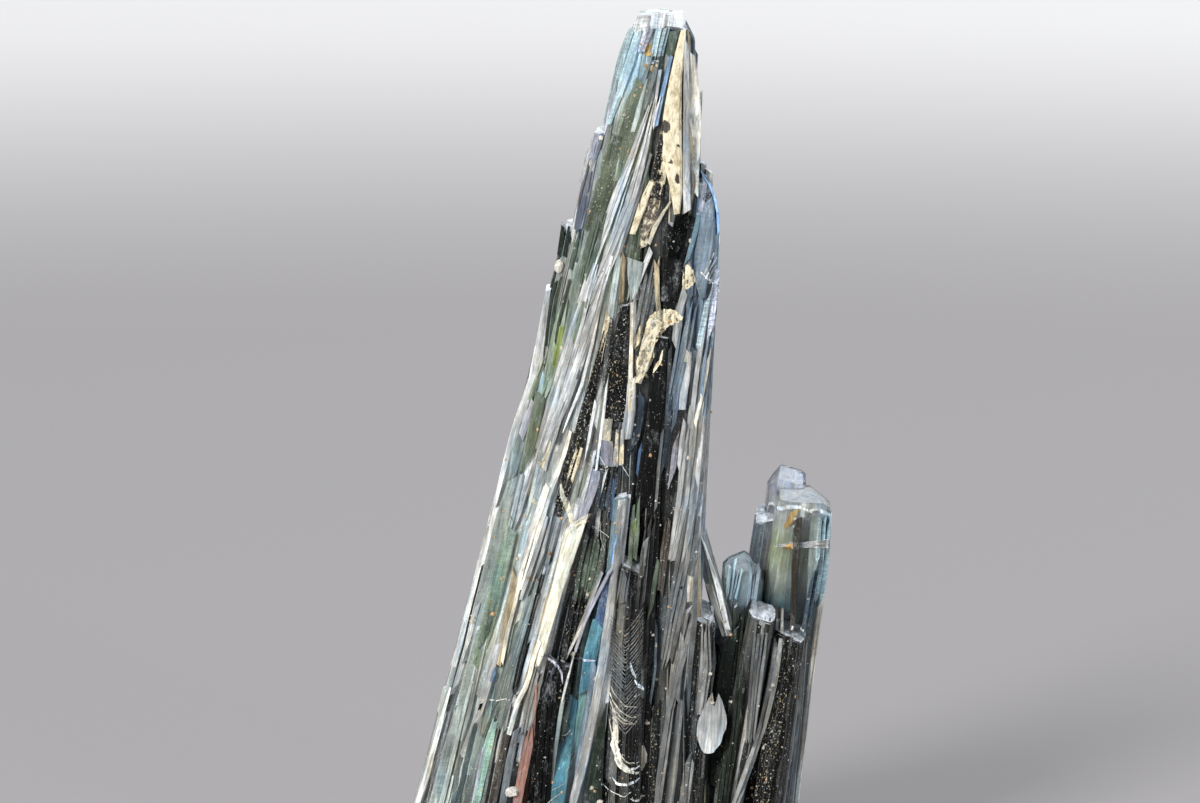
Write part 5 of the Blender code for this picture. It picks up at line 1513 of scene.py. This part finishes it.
def grainSurface():
    n = Nodes("mineralGrain")
    tone = n.attribute("tone", "Color")
    pores = n.noise(n.attribute("grain"), (9.0, 9.0, 9.0), 4.0, 0.7)
    n.feed(n.surface, {
        "Base Color": n.mixed(n.ranged(pores, 0.35, 0.65), n.tinted(tone, (0.55, 0.5, 0.45)), tone),
        "Roughness": n.ranged(pores, 0.3, 0.7, 0.25, 0.6), "Normal": n.bump(pores, 0.6, 0.03)})
    return n.material


# grains stuck on every side: smallest and largest radius and tint of each kind, the chances of the kinds
# that are strewn about, and the x and z of the grains that have a place of their own
grains = {
    "kinds": {
        "white": (0.025, 0.06, "silver"), "cream": (0.03, 0.07, "cream"), "rust": (0.05, 0.09, "amber"),
        "bead": (0.30, 0.34, "pearl"), "lump": (0.09, 0.15, "cream"), "rustLump": (0.10, 0.13, "amber"),
    },
    "chances": {"white": 14, "cream": 5, "rust": 2},
    "count": 1000, "frontShare": 0.55, "highest": 44,
    "placed": [
        (-2.5, 32.03, "bead"), (-5.85, 14.76, "rustLump"), (-4.7, 18.43, "rust"), (-2.4, 19.75, "rustLump"),
        (2.15, 13.86, "lump"), (5, 10.61, "rustLump"), (-1.1, 19.65, "rust"), (-5.95, 15.37, "rust"),
        (-5.4, 16.52, "rust"), (-4.4, 19.09, "rust"), (-4.3, 19.69, "rust"), (-0.45, 38.53, "lump"),
        (-1.15, 26.73, "rust"), (0.7, 39.73, "lump"), (0.5, 38.08, "rust"), (0.9, 37.93, "rust"),
        (-1, 34.99, "rust"), (-1.1, 35.71, "lump"), (-0.65, 31.75, "lump"), (-1.55, 28.39, "rust"),
        (-2.4, 28.16, "lump"), (-1.9, 27.43, "rust"), (-3.6, 24.02, "rust"), (-3.45, 22.4, "lump"),
        (-3.3, 22.67, "lump"), (-2.05, 26.33, "white"), (-1.65, 22.86, "rust"), (-1.6, 22.46, "rust"),
        (-0.65, 23.57, "rust"), (2.25, 33.27, "rust"), (1.45, 32.6, "rust"), (2.95, 29.54, "rustLump"),
        (0.35, 26.89, "rust"), (3.95, 33.52, "lump"), (2, 22.91, "rust"), (-3.75, 20.55, "lump"),
        (-3.7, 20.42, "lump"), (-4.5, 17.79, "lump"), (-4.6, 17.63, "lump"), (-6.8, 14.47, "lump"),
        (-6.9, 14.25, "lump"), (-7, 13.28, "lump"), (-1.1, 16.01, "lump"), (-1, 15.91, "rust"),
        (-1.85, 13.08, "lump"), (-0.75, 11.88, "lump"), (-3, 18, "rust"), (-4.3, 9.68, "rust"),
        (0.5, 14.2, "rust"), (0.7, 14, "rust"), (0.85, 14.85, "rust"), (-0.9, 6.42, "lump"),
        (-0.75, 6.26, "rustLump"), (-0.5, 5.74, "lump"), (-4.9, 6.23, "bead"), (-4.7, 6.18, "lump"),
        (-4.05, 5.55, "lump"), (3.65, 5.83, "rust"), (2.25, 8.36, "rust"), (1.85, 9.43, "lump"),
        (2.3, 11.62, "lump"), (4, 12.22, "lump"), (5, 11.82, "lump"), (4.5, 10.95, "lump"),
        (5.1, 10.41, "lump"), (6.1, 10.13, "lump"), (8.15, 11.09, "lump"), (7.8, 8.01, "lump"),
        (7.7, 7.86, "lump"), (7.15, 5.72, "rustLump"), (7.15, 5.37, "rustLump"), (7.85, 6.2, "rust"),
        (6.85, 5.12, "rust"), (6.75, 6.54, "rust"), (9.05, 9.06, "white"), (3.85, 22.7, "lump"),
        (4.5, 21.41, "lump"), (2.85, 21.88, "white"), (2.95, 21.73, "white"), (3.05, 21.27, "white"),
        (2.9, 21.43, "white"), (2.75, 21.63, "white"), (3.15, 20.22, "white"), (3.05, 19.96, "white"),
        (3.2, 20.12, "white"), (3.3, 20.37, "white"), (3.1, 22.08, "white"), (5.55, 14.84, "lump"),
        (5.7, 14.24, "lump"), (5.95, 15.34, "white"), (1.5, 43.2, "rust"), (1.9, 43.2, "rustLump"),
        (1.8, 43, "rustLump"), (1.9, 42.85, "rust"), (1.75, 42.14, "rust"), (2.05, 42.09, "rustLump"),
        (2.3, 42.14, "lump"), (2.55, 42.15, "rust"), (1.5, 41.09, "rust"), (1.2, 40.69, "rust"),
        (1.8, 40.89, "rust"),
    ],
}


def grainPiece(name, settings, material):
    rng = random.Random(name)
    bm = bmesh.new()

    def place(origin, direction, kind):
        spot = onSurface.ray_cast(origin * mm, direction)[0]
        if spot is None:
            return
        spot = spot / mm
        small, large, tint = settings["kinds"][kind]
        size = rng.uniform(small, large)
        grain = bmesh.new()
        bmesh.ops.create_icosphere(grain, subdivisions=1 if size < 0.2 else 2, radius=size)
        squash = (rng.uniform(0.6, 1.3), rng.uniform(0.6, 1.0), rng.uniform(0.6, 1.3))
        bmesh.ops.scale(grain, vec=squash, verts=grain.verts)
        for v in grain.verts:
            v.co += noise.noise_vector(v.co * 6.0 / max(size, 0.05) * 0.2 + spot) * size * 0.3 + spot
        markGrain(grain, lambda h: Vector(), tintAt(tint, rng.uniform(0.3, 1.0)), rng, zoned=False)
        append(bm, grain)

    for x, z, kind in settings["placed"]:
        place(Vector((x, inFront, z)), Vector((0, 1, 0)), kind)
    kinds, chances = list(settings["chances"]), list(settings["chances"].values())
    for _ in range(settings["count"]):
        turn = rng.uniform(0, 2 * math.pi)
        if rng.random() < settings["frontShare"]:
            turn = -math.pi / 2 + rng.uniform(-0.5, 0.5)
        outward = Vector((math.cos(turn), math.sin(turn), 0))
        z = settings["highest"] * (1 - math.sqrt(rng.random()))  # most of them lie low down
        aside = Vector((-outward.y, outward.x, 0)) * rng.uniform(-10, 10)
        place(outward * 40 + aside + Vector((-1, 0, z)), -outward, rng.choices(kinds, chances)[0])
    finishPiece(name, bm, material)


grainPiece("grains", grains, grainSurface())


studio = {
    "floorRadius": 3.0, "nearTone": (0.300, 0.292, 0.302), "farTone": (0.76, 0.76, 0.77),
    "toneEdge": (0.17, 0.48), "aim": (0, 0, 0.022),
    "lights": {  # place, size, power, colour
        "keySoftbox": ((-0.55, -0.75, 0.60), (0.30, 0.30), 9.5, (1.0, 0.98, 0.94)),
        "topSoftbox": ((0.10, 0.35, 0.95), (0.4, 0.4), 8.0, (1, 1, 1)),
        "rimSoftbox": ((0.75, 0.10, 0.30), (0.2, 0.5), 3.0, (0.93, 0.97, 1.0)),
        "lowLeftStrip": ((-0.50, -0.55, 0.12), (0.10, 0.22), 1.2, (1, 1, 1)),
        "lowRightStrip": ((0.45, -0.60, 0.12), (0.08, 0.22), 0.7, (0.80, 0.90, 1.0)),
    },
    "worldColour": (0.93, 0.95, 1.0, 1), "worldStrength": 0.16,
    "lens": 160, "sensor": 36, "frameWidth": 0.060, "elevation": 10, "cameraAim": (-0.0005, 0, 0.0251),
}


def makeFloor(settings):
    bm = bmesh.new()
    bmesh.ops.create_circle(bm, segments=96, radius=settings["floorRadius"], cap_ends=True)
    mesh = bpy.data.meshes.new("studioFloor")
    bm.to_mesh(mesh)
    bm.free()
    floor = bpy.data.objects.new("studioFloor", mesh)
    bpy.context.scene.collection.objects.link(floor)
    n = Nodes("paleFloor")
    fromMiddle = n.add("VectorMath", {0: n.add("TexCoord", {}, "Object")}, "Value", operation="LENGTH")
    tone = n.mixed(n.ranged(fromMiddle, *settings["toneEdge"]), settings["nearTone"], settings["farTone"])
    n.feed(n.surface, {"Base Color": tone, "Roughness": 0.9, "Specular IOR Level": 0.1})
    mesh.materials.append(n.material)


def areaLight(name, place, size, power, colour):
    data = bpy.data.lights.new(name, "AREA")
    data.shape = "RECTANGLE"
    data.size, data.size_y = size
    data.energy = power
    data.color = colour
    light = bpy.data.objects.new(name, data)
    light.location = place
    light.rotation_euler = (Vector(studio["aim"]) - Vector(place)).to_track_quat("-Z", "Y").to_euler()
    bpy.context.scene.collection.objects.link(light)


makeFloor(studio)
for name, settings in studio["lights"].items():
    areaLight(name, *settings)

world = bpy.data.worlds.new("studio")
bpy.context.scene.world = world
world.use_nodes = True
background = world.node_tree.nodes["Background"]
background.inputs["Color"].default_value = studio["worldColour"]
background.inputs["Strength"].default_value = studio["worldStrength"]

camera = bpy.data.objects.new("camera", bpy.data.cameras.new("camera"))
camera.data.lens = studio["lens"]
camera.data.sensor_width = studio["sensor"]
camera.data.clip_start = 0.01
elevation = math.radians(studio["elevation"])
distance = studio["frameWidth"] * studio["lens"] / studio["sensor"]
away = Vector((0, -math.cos(elevation), math.sin(elevation))) * distance
camera.location = Vector(studio["cameraAim"]) + away
camera.rotation_euler = (math.pi / 2 - elevation, 0, 0)
bpy.context.scene.collection.objects.link(camera)
bpy.context.scene.camera = camera
bpy.context.scene.view_settings.view_transform = "Standard"
print("floor, lights and camera placed")
